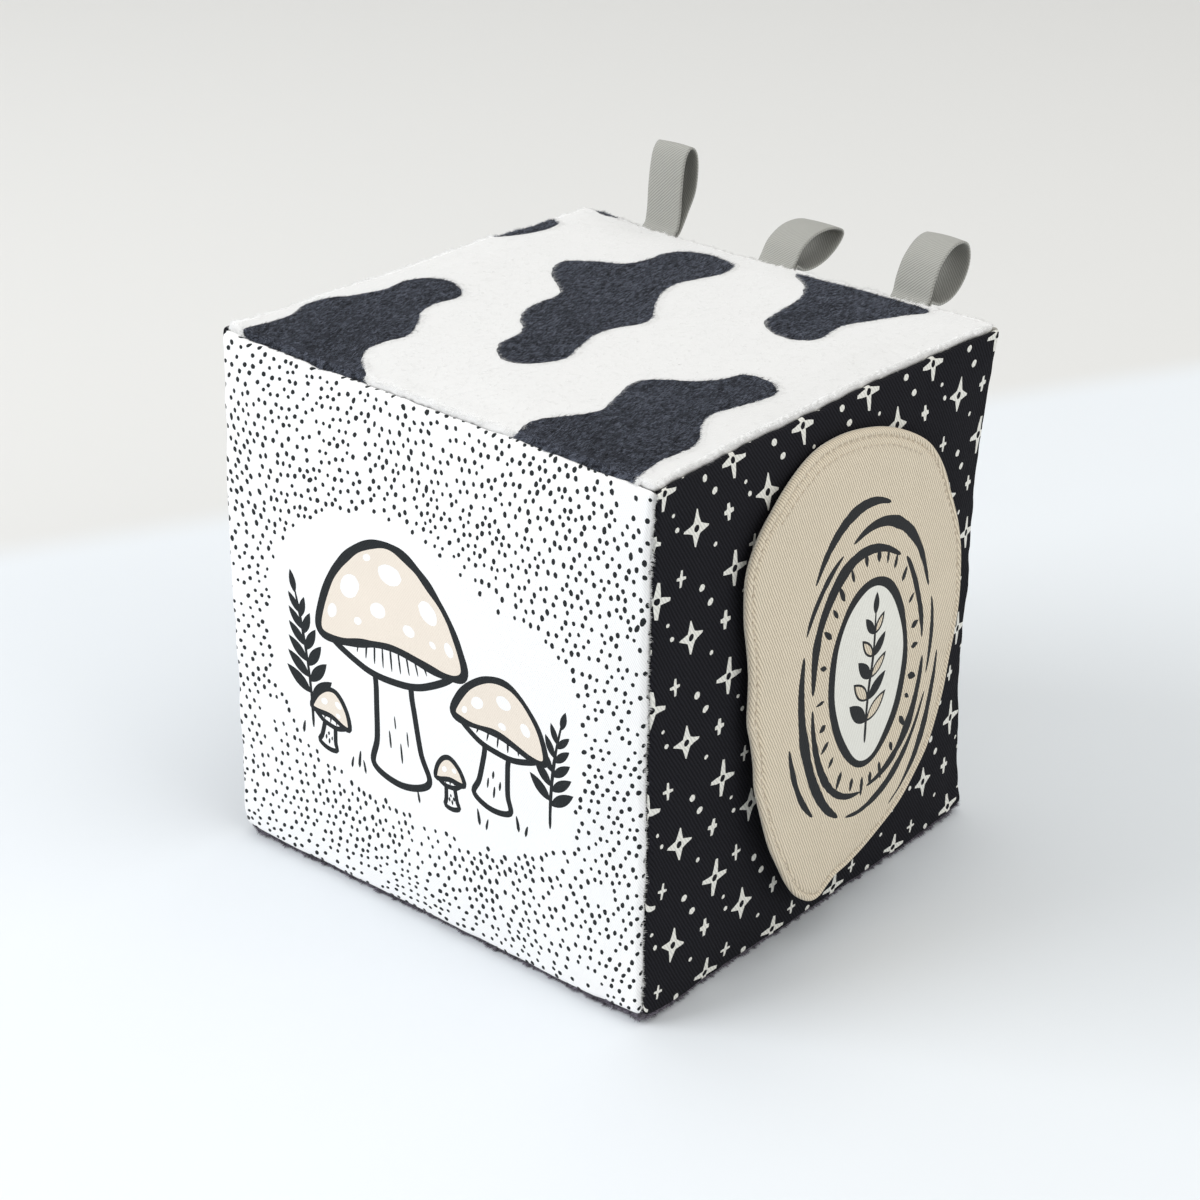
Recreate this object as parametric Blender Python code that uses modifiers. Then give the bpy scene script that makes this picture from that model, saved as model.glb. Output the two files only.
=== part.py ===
"""Soft fabric activity block: six sewn fabric panels over a two-part foam core.

Frame: +Z up, origin at the centre of the flat face that it rests on.
-Y is the dotted front panel, +X the star panel with the peek flap, +Z the
plush top, and the three ribbon loops stand in the seam between top and back.
Metres throughout.
"""

import math

import bmesh
import bpy
from mathutils import Matrix, Vector

# ---------------------------------------------------------------- dimensions
SIDE = 0.150  # width and depth, over the sewn corners
HEIGHT = 0.1560  # height of the face planes, with the pile of the plush
CROWN = 0.0012  # how far the middle of a side panel swells out
TOP_CROWN = 0.0030  # the same for the plush top
DRAW_IN = 0.0021  # how far the middle of a seam is drawn in from its corners
TOP_DRAW_IN = 0.0004  # the same, down from the top
BASE_LIFT = 0.0012  # how far the middle of a base seam lifts off the floor

WOVEN = 0.0008  # printed twill with its iron-on backing
PLUSH = 0.0016  # knitted backing and the packed foot of the pile
BASE_PILE = 0.0012  # short-pile base fabric
ALLOWANCE = 0.0040  # seam allowance turned inside, past the fold
GAP = 0.0003  # between pieces that touch

FOAM_BACK = 0.0028  # foam face, behind the panel's face plane
FOAM_CHAMFER = 0.0128  # clears the seam allowances inside every edge

RATTLE_R = 0.0190  # rattle capsule, outside radius
RATTLE_WALL = 0.0015
BALL_R = 0.0060

FILM = 0.0002  # crinkle film

FLAP_LAYER = 0.0008
FLAP_HINGE_Z = 0.1375  # where the flap bends, just under its attaching seam
FLAP_PROUD = 0.0040  # outer face of the flap at that line, off the face plane
FLAP_LEAN = math.radians(2.2)  # stands off the panel more at the bottom
HEM_SLOPE = 0.28  # how the sewn-down margin above it slopes in to the panel
THREAD = 0.0005  # thread diameter

RIBBON_WIDTH = 0.0125
RIBBON_THICK = 0.0009
LOOP_X = (-0.0450, -0.0005, 0.0460)  # centres of the three loops

# The folded edges of the cloth stand this far inside the block's face planes.
HALF = SIDE / 2 + WOVEN + 0.0003
Z_SCALE = HEIGHT / (2 * HALF)


# ------------------------------------------------------------------- helpers
for old in list(bpy.data.objects):
    bpy.data.objects.remove(old, do_unlink=True)

scene = bpy.context.scene
parts = bpy.data.collections.new("soft_fabric_block")
cutters = bpy.data.collections.new("cutters")
scene.collection.children.link(parts)
scene.collection.children.link(cutters)


def material(name, rgb, rough, metallic=0.0):
    m = bpy.data.materials.new(name)
    m.use_nodes = True
    p = m.node_tree.nodes["Principled BSDF"]
    p.inputs["Base Color"].default_value = (*rgb, 1.0)
    p.inputs["Roughness"].default_value = rough
    p.inputs["Metallic"].default_value = metallic
    m.diffuse_color = (*rgb, 1.0)
    return m


def place(name, mesh, mat, matrix=None, collection=parts):
    ob = bpy.data.objects.new(name, mesh)
    collection.objects.link(ob)
    if matrix is not None:
        ob.matrix_world = matrix
    if mat is not None:
        mesh.materials.append(mat)
    return ob


def smooth(mesh, degrees=40):
    mesh.shade_smooth()
    mesh.set_sharp_from_angle(angle=math.radians(degrees))


def pillow(p):
    """A point of the plain cube, centred on 0, moved to the sewn block's shape.

    Corners stay, the middle of each seam is drawn in, the middle of each face
    swells, and the base stays flat but for its seams, which lift a little.
    """
    n = [max(-1.0, min(1.0, c / HALF)) for c in p]
    out = []
    for i in range(3):
        j, k = [q for q in range(3) if q != i]
        a, b = n[j] ** 2, n[k] ** 2
        at_top = i == 2 and n[2] > 0
        swell = (TOP_CROWN if at_top else CROWN) * (1 - a) * (1 - b)
        drawn = (TOP_DRAW_IN if at_top else DRAW_IN) * (a * (1 - b) + b * (1 - a))
        if i == 2 and n[2] < 0:
            edge = [max(0.0, (abs(n[q]) - 0.82) / 0.18) for q in (0, 1)]
            ramp = [e * e * (3 - 2 * e) for e in edge]
            lift = ramp[0] * (1 - b) + ramp[1] * (1 - a)
            swell, drawn = 0.0, BASE_LIFT * min(1.0, lift)
        out.append(p[i] + n[i] * (swell - drawn))
    return Vector((out[0], out[1], (out[2] + HALF) * Z_SCALE))


# ----------------------------------------------------------------- materials
M_PLUSH = material("plush_white", (0.86, 0.86, 0.84), 0.95)
M_DOTS = material("dotted_twill", (0.88, 0.88, 0.87), 0.85)
M_STARS = material("black_star_twill", (0.028, 0.029, 0.033), 0.85)
M_BACK = material("grey_twill", (0.46, 0.45, 0.43), 0.85)
M_LEFT = material("black_twill", (0.030, 0.031, 0.036), 0.85)
M_BASE = material("charcoal_pile", (0.045, 0.042, 0.050), 0.95)
M_FOAM = material("foam", (0.90, 0.88, 0.80), 0.95)
M_CAPSULE = material("rattle_plastic", (0.80, 0.80, 0.82), 0.35)
M_BALL = material("rattle_pellet_plastic", (0.55, 0.57, 0.60), 0.40)
M_FILM = material("crinkle_film", (0.75, 0.78, 0.80), 0.25)
M_FLAP = material("tan_twill", (0.60, 0.51, 0.41), 0.85)
M_FLAP_BACK = material("cream_twill", (0.72, 0.68, 0.60), 0.85)
M_THREAD = material("tan_thread", (0.62, 0.54, 0.44), 0.70)
M_BLACK_THREAD = material("black_thread", (0.03, 0.03, 0.035), 0.70)
M_RIBBON = material("grey_ribbon", (0.40, 0.40, 0.38), 0.80)


# -------------------------------------------------------------------- panels
def ring_table(thick):
    """(half width, depth) of each square ring of a panel, middle to seam.

    The face runs out flat, rolls over through 135 degrees round a fold just
    larger than the cloth is thick, and goes in along the mitre as the seam
    allowance, which stops half a gap short of its neighbour's.
    """
    r = thick + 0.0003
    slant = math.sqrt(0.5)
    edge = HALF - GAP * slant  # mitre line, moved in by half a gap
    a0 = edge - r * (1 + 2 * slant)
    rings = [(0.0, 0.0), (a0 * 0.42, 0.0), (a0 * 0.78, 0.0), (a0, 0.0)]
    for degrees in (67.5, 135.0):
        t = math.radians(degrees)
        rings.append((a0 + r * math.sin(t), r * (1 - math.cos(t))))
    a, d = rings[-1]
    rings.append((a - ALLOWANCE * slant, d + ALLOWANCE * slant))
    return rings


def panel(name, u, v, thick, mat):
    u, v = Vector(u), Vector(v)
    n = u.cross(v)
    rings = ring_table(thick)
    last = len(rings) - 1
    bm = bmesh.new()
    bmesh.ops.create_grid(bm, x_segments=2 * last, y_segments=2 * last, size=last)
    turn = Matrix((u, v, n)).transposed().to_4x4()
    centre = pillow(n * HALF)
    if n.z < -0.5:
        centre.z = 0.0
    world = Matrix.Translation(centre) @ turn
    back = world.inverted()
    for vert in bm.verts:
        i, j = round(vert.co.x), round(vert.co.y)
        m = max(abs(i), abs(j))
        a, d = rings[m]
        s, t = (a * i / m, a * j / m) if m else (0.0, 0.0)
        vert.co = back @ pillow(u * s + v * t + n * (HALF - d))
        if n.z < -0.5 and m <= 2:
            vert.co.z = 0.0
    mesh = bpy.data.meshes.new(name)
    bm.to_mesh(mesh)
    bm.free()
    smooth(mesh, 60)
    ob = place(name, mesh, mat, world)
    shell = ob.modifiers.new("cloth", "SOLIDIFY")
    shell.thickness = thick
    shell.offset = -1.0
    shell.use_even_offset = True
    return ob


panel("top_plush_panel", (1, 0, 0), (0, 1, 0), PLUSH, M_PLUSH)
panel("front_dotted_panel", (1, 0, 0), (0, 0, 1), WOVEN, M_DOTS)
panel("right_star_panel", (0, 1, 0), (0, 0, 1), WOVEN, M_STARS)
panel("back_panel", (-1, 0, 0), (0, 0, 1), WOVEN, M_BACK)
panel("left_panel", (0, -1, 0), (0, 0, 1), WOVEN, M_LEFT)
panel("base_panel", (1, 0, 0), (0, -1, 0), BASE_PILE, M_BASE)


# ----------------------------------------------------------------- foam core
capsule_z = HEIGHT / 2  # the capsule sits across the split of the foam


def ball(name, radius, segments, rings, collection, mat, centre):
    bm = bmesh.new()
    bmesh.ops.create_uvsphere(bm, u_segments=segments, v_segments=rings, radius=radius)
    mesh = bpy.data.meshes.new(name)
    bm.to_mesh(mesh)
    bm.free()
    smooth(mesh)
    return place(name, mesh, mat, Matrix.Translation(centre), collection)


pocket = ball(
    "rattle_pocket", RATTLE_R + 0.0010, 20, 12, cutters, None, (0, 0, capsule_z)
)
pocket.hide_render = True
pocket.display_type = "WIRE"


def foam_half(name, upper):
    """Half of a chamfered block, cut flat at mid height, with half the pocket."""
    x = HALF - FOAM_BACK
    bottom, top = FOAM_BACK * Z_SCALE, HEIGHT - FOAM_BACK * Z_SCALE
    bm = bmesh.new()
    bmesh.ops.create_cube(bm, size=1.0)
    for vert in bm.verts:
        vert.co.x *= 2 * x
        vert.co.y *= 2 * x
        vert.co.z = vert.co.z * (top - bottom)
    bmesh.ops.bevel(
        bm,
        geom=bm.edges[:],
        offset=FOAM_CHAMFER,
        offset_type="OFFSET",
        segments=1,
        affect="EDGES",
    )
    side = 1 if upper else -1
    middle = Vector((0, 0, side * GAP / 2))
    cut = bmesh.ops.bisect_plane(
        bm,
        geom=bm.verts[:] + bm.edges[:] + bm.faces[:],
        plane_co=middle,
        plane_no=(0, 0, -side),
        clear_outer=True,
    )
    rim = [e for e in cut["geom_cut"] if isinstance(e, bmesh.types.BMEdge)]
    bmesh.ops.holes_fill(bm, edges=rim, sides=0)
    bmesh.ops.recalc_face_normals(bm, faces=bm.faces[:])
    mesh = bpy.data.meshes.new(name)
    bm.to_mesh(mesh)
    bm.free()
    ob = place(name, mesh, M_FOAM, Matrix.Translation((0, 0, capsule_z)))
    hole = ob.modifiers.new("pocket", "BOOLEAN")
    hole.operation = "DIFFERENCE"
    hole.solver = "EXACT"
    hole.object = pocket
    return ob


foam_half("foam_core_lower", False)
foam_half("foam_core_upper", True)


# ------------------------------------------------------------ rattle capsule
def capsule_half(name, upper):
    """Hollow half ball, turned about Z, its rim half a gap from the split."""
    points = []
    steps = 6
    sign = 1 if upper else -1
    lip = GAP / 2
    for i in range(steps + 1):  # outside, pole to rim
        t = math.pi / 2 * i / steps
        points.append((RATTLE_R * math.sin(t), RATTLE_R * math.cos(t) + lip))
    inner = RATTLE_R - RATTLE_WALL
    for i in range(steps, -1, -1):  # inside, rim to pole
        t = math.pi / 2 * i / steps
        points.append((inner * math.sin(t), inner * math.cos(t) + lip))
    mesh = bpy.data.meshes.new(name)
    verts = [(x, 0.0, z * sign) for x, z in points]
    if not upper:
        verts.reverse()
    mesh.from_pydata(verts, [(i, i + 1) for i in range(len(verts) - 1)], [])
    ob = place(name, mesh, M_CAPSULE, Matrix.Translation((0, 0, capsule_z)))
    turn = ob.modifiers.new("turned", "SCREW")
    turn.axis = "Z"
    turn.steps = 20
    turn.render_steps = 20
    turn.use_merge_vertices = True
    turn.merge_threshold = 0.00005
    turn.use_smooth_shade = True
    return ob


capsule_half("rattle_shell_lower", False)
capsule_half("rattle_shell_upper", True)
ball(
    "rattle_ball",
    BALL_R,
    16,
    10,
    parts,
    M_BALL,
    (0, 0, capsule_z - (RATTLE_R - RATTLE_WALL) + BALL_R + 0.0006),
)


# -------------------------------------------------------- crinkle film, left
def sheet(name, width, height, thick, mat, matrix):
    bm = bmesh.new()
    bmesh.ops.create_cube(bm, size=1.0)
    for vert in bm.verts:
        vert.co = Vector((vert.co.x * width, vert.co.y * height, vert.co.z * thick))
    mesh = bpy.data.meshes.new(name)
    bm.to_mesh(mesh)
    bm.free()
    return place(name, mesh, mat, matrix)


film_x = -(HALF - FOAM_BACK + GAP + 0.0001 + FILM / 2)
sheet(
    "left_crinkle_film",
    0.100,
    0.100,
    FILM,
    M_FILM,
    Matrix.Translation((film_x, 0, HEIGHT / 2))
    @ Matrix(((0, 0, 1), (1, 0, 0), (0, 1, 0))).to_4x4(),
)


# ---------------------------------------------------------------------- flap
# A hand-cut wobbly oval, in millimetres: across the panel (y), up it (z).
FLAP_OUTLINE = [
    (-1.0, 146.2), (9.4, 145.1), (19.5, 142.6), (29.0, 138.4), (37.5, 132.6),
    (43.9, 124.4), (48.2, 115.4), (51.8, 106.5), (53.8, 97.5), (54.0, 88.4),
    (53.4, 79.5), (51.4, 71.2), (49.0, 63.2), (46.8, 55.0), (43.8, 46.9),
    (39.0, 39.4), (32.6, 33.0), (25.2, 28.0), (17.1, 23.9), (9.4, 20.8),
    (2.2, 18.8), (-3.6, 17.8), (-7.2, 16.0), (-10.6, 14.0), (-14.8, 14.4),
    (-20.4, 18.6), (-25.0, 24.8), (-28.2, 30.6), (-31.9, 37.6), (-35.0, 45.2),
    (-37.5, 52.8), (-39.4, 59.8), (-39.6, 66.6), (-40.4, 73.1), (-41.6, 79.4),
    (-41.3, 86.0), (-41.3, 92.8), (-41.9, 100.6), (-43.0, 110.2), (-42.8, 121.2),
    (-38.2, 130.2), (-30.6, 137.2), (-21.6, 142.2), (-11.5, 145.5),
]  # fmt: skip


def closed_spline(points, per_span=2):
    """Points of a closed Catmull-Rom curve through the given points."""
    n = len(points)
    out = []
    for i in range(n):
        p0, p1, p2, p3 = (Vector(points[(i + k - 1) % n]) for k in range(4))
        for s in range(per_span):
            t = s / per_span
            out.append(
                0.5
                * (
                    2 * p1
                    + (p2 - p0) * t
                    + (2 * p0 - 5 * p1 + 4 * p2 - p3) * t * t
                    + (3 * p1 - p0 - 3 * p2 + p3) * t * t * t
                )
            )
    return out


def inset(points, distance):
    """The closed outline moved in by a distance, along its own normals."""
    n = len(points)
    out = []
    turn = sum(
        points[i].x * points[(i + 1) % n].y - points[(i + 1) % n].x * points[i].y
        for i in range(n)
    )
    side = 1 if turn > 0 else -1
    for i in range(n):
        along = (points[(i + 1) % n] - points[i - 1]).normalized()
        out.append(points[i] + Vector((-along.y, along.x)) * side * distance)
    return out


def clip(points, level, keep_below):
    """The part of a closed outline below, or above, a level line."""
    out = []
    n = len(points)
    sign = 1 if keep_below else -1
    for i in range(n):
        a, b = points[i], points[(i + 1) % n]
        ina, inb = sign * (level - a.y) >= 0, sign * (level - b.y) >= 0
        if ina:
            out.append(a)
        if ina != inb:
            out.append(a + (b - a) * ((level - a.y) / (b.y - a.y)))
    clean = []
    for p in out:
        if not clean or (p - clean[-1]).length > 0.0002:
            clean.append(p)
    return clean


def solid_of(ob):
    """The curve object's evaluated mesh, welded, in place of the curve."""
    bpy.context.view_layer.update()
    deps = bpy.context.evaluated_depsgraph_get()
    mesh = bpy.data.meshes.new_from_object(ob.evaluated_get(deps))
    bm = bmesh.new()
    bm.from_mesh(mesh)
    bmesh.ops.remove_doubles(bm, verts=bm.verts[:], dist=0.00001)
    bmesh.ops.recalc_face_normals(bm, faces=bm.faces[:])
    bm.to_mesh(mesh)
    bm.free()
    name, matrix = ob.name, ob.matrix_world.copy()
    bpy.data.objects.remove(ob, do_unlink=True)
    mesh.name = name
    return name, mesh, matrix


def flat_piece(name, outlines, thick, mat, matrix):
    """A flat outline, with any holes, as a slab centred on its own plane."""
    curve = bpy.data.curves.new(name, "CURVE")
    curve.dimensions = "2D"
    curve.fill_mode = "BOTH"
    curve.extrude = thick / 2
    for outline in outlines:
        spline = curve.splines.new("POLY")
        spline.points.add(len(outline) - 1)
        for point, p in zip(spline.points, outline):
            point.co = (p.x, p.y, 0.0, 1.0)
        spline.use_cyclic_u = True
    ob = bpy.data.objects.new(name, curve)
    parts.objects.link(ob)
    ob.matrix_world = matrix
    found, mesh, matrix = solid_of(ob)
    return place(found, mesh, mat, matrix)


outline = closed_spline([(y / 1000, z / 1000) for y, z in FLAP_OUTLINE])
hinge = Vector((HALF + FLAP_PROUD, 0.0, FLAP_HINGE_Z))

# local x is +Y, local y is up the flap, local z points out of the panel
upright = Matrix(((0, 0, 1), (1, 0, 0), (0, 1, 0))).to_4x4()
lean = Matrix.Rotation(-FLAP_LEAN, 4, "Y")


def flap_frame(depth):
    """Frame of a flap layer whose middle lies this far under its outer face."""
    return (
        Matrix.Translation(hinge)
        @ lean
        @ upright
        @ Matrix.Translation((0, 0, -depth))
    )


def from_hinge(points):
    return [Vector((p.x, p.y - FLAP_HINGE_Z)) for p in points]


moving = from_hinge(clip(outline, FLAP_HINGE_Z - GAP, True))
film_edge = from_hinge(clip(inset(outline, 0.0035), FLAP_HINGE_Z - 0.0035, True))
stack = FLAP_LAYER + GAP  # outer face to the film's outer face
flat_piece("flap_face", [moving], FLAP_LAYER, M_FLAP, flap_frame(FLAP_LAYER / 2))
flat_piece(
    "flap_crinkle_film", [film_edge], FILM, M_FILM, flap_frame(stack + FILM / 2)
)
flat_piece(
    "flap_backing",
    [moving],
    FLAP_LAYER,
    M_FLAP_BACK,
    flap_frame(stack + FILM + GAP + FLAP_LAYER / 2),
)

# The sewn-down margin above the bend slopes in to the panel.
FLAP_THICK = 2 * FLAP_LAYER + 2 * GAP + FILM
margin = from_hinge(clip(outline, FLAP_HINGE_Z, False))
hem = flat_piece(
    "flap_top_hem",
    [margin],
    FLAP_THICK,
    M_FLAP,
    Matrix.Translation(hinge) @ upright @ Matrix.Translation((0, 0, -FLAP_THICK / 2)),
)
for vert in hem.data.vertices:
    vert.co.z -= HEM_SLOPE * vert.co.y


def tube(name, points, diameter, mat, matrix, cyclic=False):
    curve = bpy.data.curves.new(name, "CURVE")
    curve.dimensions = "3D"
    curve.bevel_depth = diameter / 2
    curve.bevel_resolution = 1
    curve.use_fill_caps = True
    spline = curve.splines.new("POLY")
    spline.points.add(len(points) - 1)
    for point, p in zip(spline.points, points):
        point.co = (p[0], p[1], p[2], 1.0)
    spline.use_cyclic_u = cyclic
    ob = bpy.data.objects.new(name, curve)
    parts.objects.link(ob)
    ob.matrix_world = matrix
    curve.materials.append(mat)
    return ob


# Topstitching 2 mm inside the flap's free edge, from bend to bend.
row = inset(outline, 0.0020)
free = [p for p in row if p.y < FLAP_HINGE_Z - 0.0018]
start = max(
    range(len(free)), key=lambda i: (free[i] - free[i - 1]).length
)  # the one long step is across the top
free = free[start:] + free[:start]
tube(
    "flap_edge_stitch",
    [(p.x, p.y - FLAP_HINGE_Z, GAP + THREAD / 2) for p in free],
    THREAD,
    M_THREAD,
    flap_frame(0.0),
)

# The seam that holds the flap on, an arc 3.2 mm inside the top edge.
arc = [p for p in inset(outline, 0.0032) if p.y > FLAP_HINGE_Z + 0.0026]
start = max(range(len(arc)), key=lambda i: (arc[i] - arc[i - 1]).length)
arc = arc[start:] + arc[:start]
tube(
    "flap_attach_stitch",
    [
        (
            p.x,
            p.y - FLAP_HINGE_Z,
            GAP + THREAD / 2 - HEM_SLOPE * (p.y - FLAP_HINGE_Z) + 0.0001,
        )
        for p in arc
    ],
    THREAD,
    M_THREAD,
    Matrix.Translation(hinge) @ upright,
)


# -------------------------------------------------------------- ribbon loops
# Side view of each loop in millimetres: away from the back (y), up (z), from
# the point where it leaves the seam, out along one leg and back by the other.
LOOP_PATHS = {
    "ribbon_loop_left": [
        (-0.3, 5.0), (-0.4, 11.0), (0.4, 17.5), (2.0, 23.0), (4.9, 25.4),
        (7.6, 22.8), (8.3, 17.0), (7.2, 10.5), (4.0, 5.0),
    ],
    "ribbon_loop_middle": [
        (3.0, 3.8), (8.5, 5.8), (15.0, 5.8), (20.5, 4.3), (22.6, 2.4),
        (20.4, -0.2), (15.6, -2.6), (9.6, -3.6), (3.8, -2.6),
    ],
    "ribbon_loop_right": [
        (1.0, 4.6), (4.2, 9.4), (9.6, 13.0), (15.0, 13.6), (17.8, 11.4),
        (18.2, 7.0), (15.6, 2.2), (10.6, -1.2), (4.6, -2.0),
    ],
}  # fmt: skip


def loop_outlines(path):
    """Outer and inner outline of a ribbon that leaves 0,0 and returns there."""
    points = [Vector((0.0, 0.0))] + [Vector((y / 1000, z / 1000)) for y, z in path]
    n = len(points)
    line = []
    for i in range(n):  # open Catmull-Rom round the loop, with a point at the root
        p1, p2 = points[i], points[(i + 1) % n]
        p0 = points[i - 1] if i else 2 * p1 - p2
        p3 = points[(i + 2) % n] if i < n - 1 else 2 * p2 - p1
        for s in range(2):
            t = s / 2
            line.append(
                0.5
                * (
                    2 * p1
                    + (p2 - p0) * t
                    + (2 * p0 - 5 * p1 + 4 * p2 - p3) * t * t
                    + (3 * p1 - p0 - 3 * p2 + p3) * t * t * t
                )
            )
    count = len(line)
    half = RIBBON_THICK / 2
    outer, inner = [], []
    for i in range(1, count):
        along = (line[(i + 1) % count] - line[i - 1]).normalized()
        left = Vector((-along.y, along.x))  # outside, as the loop runs clockwise
        outer.append(line[i] + left * half)
        inner.append(line[i] - left * half)
    # round nose about the root, from the returning leg to the leaving one
    first, last = outer[0], outer[-1]
    a0 = math.atan2(last.y, last.x)
    a1 = math.atan2(first.y, first.x)
    while a1 > a0:
        a1 -= 2 * math.pi
    nose = 0.0009
    turn = [a0 + (a1 - a0) * k / 6 for k in range(7)]
    outer += [Vector((math.cos(t), math.sin(t))) * nose for t in turn]
    # the inner outline starts where the legs have parted
    parted = [p for p in inner if p.length > 0.0032]
    return outer, parted


for x, (name, path) in zip(LOOP_X, LOOP_PATHS.items()):
    # the seam's own line, then far enough out for the root to clear the cloth
    seam = pillow(Vector((x, HALF - 0.0009, HALF - 0.0009)))
    root = seam + Vector((0, 0.0012, 0.0012))
    outer, inner = loop_outlines(path)
    flat_piece(
        name,
        [outer, inner],
        RIBBON_WIDTH,
        M_RIBBON,
        Matrix.Translation(root) @ upright,
    )


# ------------------------------------------------------- hand-sewn closing
# Ladder stitch over the lower half of the seam between the left and back
# panels, where the foam core went in.
out_xy = Vector((-1.0, 1.0)) * math.sqrt(0.5)
across = Vector((1.0, 1.0)) * math.sqrt(0.5)
ladder = []
rungs = 16
for i in range(2 * rungs):
    z = -0.050 + 0.0026 * i
    side = 0.0011 if (i // 2) % 2 else -0.0011
    xy = Vector((-HALF, HALF)) - out_xy * 0.0006 + across * side
    ladder.append(pillow(Vector((xy.x, xy.y, z))))
tube("closing_stitch", ladder, THREAD, M_BLACK_THREAD, Matrix.Identity(4))
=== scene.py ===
import math

import bpy
import numpy as np
from mathutils import Matrix, Vector
from mathutils.geometry import delaunay_2d_cdt


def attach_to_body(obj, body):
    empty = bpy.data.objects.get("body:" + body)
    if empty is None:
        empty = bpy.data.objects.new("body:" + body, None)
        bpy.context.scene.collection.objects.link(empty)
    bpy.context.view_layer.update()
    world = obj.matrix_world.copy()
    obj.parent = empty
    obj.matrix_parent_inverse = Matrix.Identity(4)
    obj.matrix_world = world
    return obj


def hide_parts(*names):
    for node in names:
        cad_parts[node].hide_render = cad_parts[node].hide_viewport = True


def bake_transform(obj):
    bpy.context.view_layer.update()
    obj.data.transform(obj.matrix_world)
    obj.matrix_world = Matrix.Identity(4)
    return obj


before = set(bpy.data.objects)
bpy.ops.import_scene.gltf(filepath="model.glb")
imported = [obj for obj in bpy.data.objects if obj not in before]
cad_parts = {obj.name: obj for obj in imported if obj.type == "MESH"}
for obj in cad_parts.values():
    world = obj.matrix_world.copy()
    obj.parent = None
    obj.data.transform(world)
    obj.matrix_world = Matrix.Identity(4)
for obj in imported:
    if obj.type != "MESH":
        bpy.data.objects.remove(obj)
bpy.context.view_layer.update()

MM = 0.001

# ---------------------------------------------------------------- dimensions
# The same ones that the solids are built on.
SIDE = 0.150
HEIGHT = 0.1560
CROWN = 0.0012
TOP_CROWN = 0.0030
DRAW_IN = 0.0021
TOP_DRAW_IN = 0.0004
UPRIGHT_IN = 0.0025
FRONT_LEFT_OUT = 0.0011
LEFT_PUFF = 0.0022
WOVEN = 0.0008
PLUSH = 0.0016
BASE_PILE = 0.0012
ALLOWANCE = 0.0040
GAP = 0.0003
HALF = SIDE / 2 + WOVEN + 0.0003
Z_SCALE = HEIGHT / (2 * HALF)
FLAP_HINGE_Z = 0.1375
FLAP_PROUD = 0.0040
FLAP_LEAN = math.radians(2.2)
HEM_SLOPE = 0.28
FLAP_THICK = 0.0024
THREAD = 0.0005
RIBBON_WIDTH = 0.0125
RIBBON_THICK = 0.0009
LOOP_X = (-0.0450, -0.0005, 0.0460)
SLANT = math.sqrt(0.5)


# ------------------------------------------------------------------- numbers
def scatter(c, seed):
    """A number in -1..1 for each whole-number place."""
    c = c.astype(np.int64)
    h = (c[:, 0] * 374761393 + c[:, 1] * 668265263 + c[:, 2] * 1442695041 + seed * 1013904223) & 0x7FFFFFFF
    h = ((h ^ (h >> 13)) * 1274126177) & 0x7FFFFFFF
    h = ((h ^ (h >> 16)) * 1103515245) & 0x7FFFFFFF
    return ((h ^ (h >> 15)) & 0xFFFFFF) / 0x7FFFFF - 1.0


def noise(p, size, seed=0):
    """Smooth noise in -1..1 at points p (N,3), with lumps about size across."""
    q = np.asarray(p, float) / size + 31.7 * (seed % 7)
    i = np.floor(q)
    f = q - i
    f = f * f * f * (f * (f * 6 - 15) + 10)
    out = np.zeros(len(q))
    for dx in (0, 1):
        wx = f[:, 0] if dx else 1 - f[:, 0]
        for dy in (0, 1):
            wy = f[:, 1] if dy else 1 - f[:, 1]
            for dz in (0, 1):
                wz = f[:, 2] if dz else 1 - f[:, 2]
                out += wx * wy * wz * scatter(i + (dx, dy, dz), seed)
    return out


def flat_noise(xy, size, seed=0):
    xy = np.asarray(xy, float)
    return noise(np.column_stack([xy, np.zeros(len(xy))]), size, seed)


def step(x, a, b):
    t = np.clip((np.asarray(x, float) - a) / (b - a), 0, 1)
    return t * t * (3 - 2 * t)


# ------------------------------------------------------------ shape of block
def pillow(p):
    """Points of the plain cube, centred on 0, moved to the sewn block's shape:
    faces crowned, upright edges drawn in, base corners lifted off the floor. The
    front left upright edge isn't drawn in: there the filling stands out a little."""
    p = np.asarray(p, float)
    n = np.clip(p / HALF, -1, 1)
    a = n**2
    out = np.empty_like(p)
    low = n[:, 2] < 0
    left = np.clip(-n[:, 0], 0, 1)
    full = left * np.clip(-n[:, 1], 0, 1)
    stand = (UPRIGHT_IN + FRONT_LEFT_OUT) * full**2 * (1 - np.where(low, a[:, 2] ** 3, a[:, 2] ** 2))
    for i, h in ((0, 1), (1, 0)):
        swell = CROWN * (1 - a[:, h]) * (1 - a[:, 2])
        upright = (UPRIGHT_IN * (1 - a[:, 2] ** 2) - stand) * a[:, h] ** 1.5
        ends = np.where(low, 0.0002, DRAW_IN) * a[:, 2] * (1 - a[:, h])
        ends = ends * np.where(low | (i == 1), 1, 1 - left)
        out[:, i] = p[:, i] + n[:, i] * (swell - upright - ends)
    top = TOP_CROWN * (1 - a[:, 0]) * (1 - a[:, 1])
    top = top - TOP_DRAW_IN * (a[:, 0] * (1 - a[:, 1]) + a[:, 1] * (1 - a[:, 0]))
    # the plush is puffed along its left edge, most of all at the front corner
    top = top + LEFT_PUFF * left**3 * (1 - step(n[:, 1], 0.2, 0.95)) + 1.3 * MM * full**1.5
    lift = 0.0017 * (a[:, 0] * a[:, 1]) ** 3
    out[:, 2] = p[:, 2] + np.where(low, -n[:, 2] * lift, n[:, 2] * top)
    out[:, 2] = (out[:, 2] + HALF) * Z_SCALE
    return out


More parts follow.
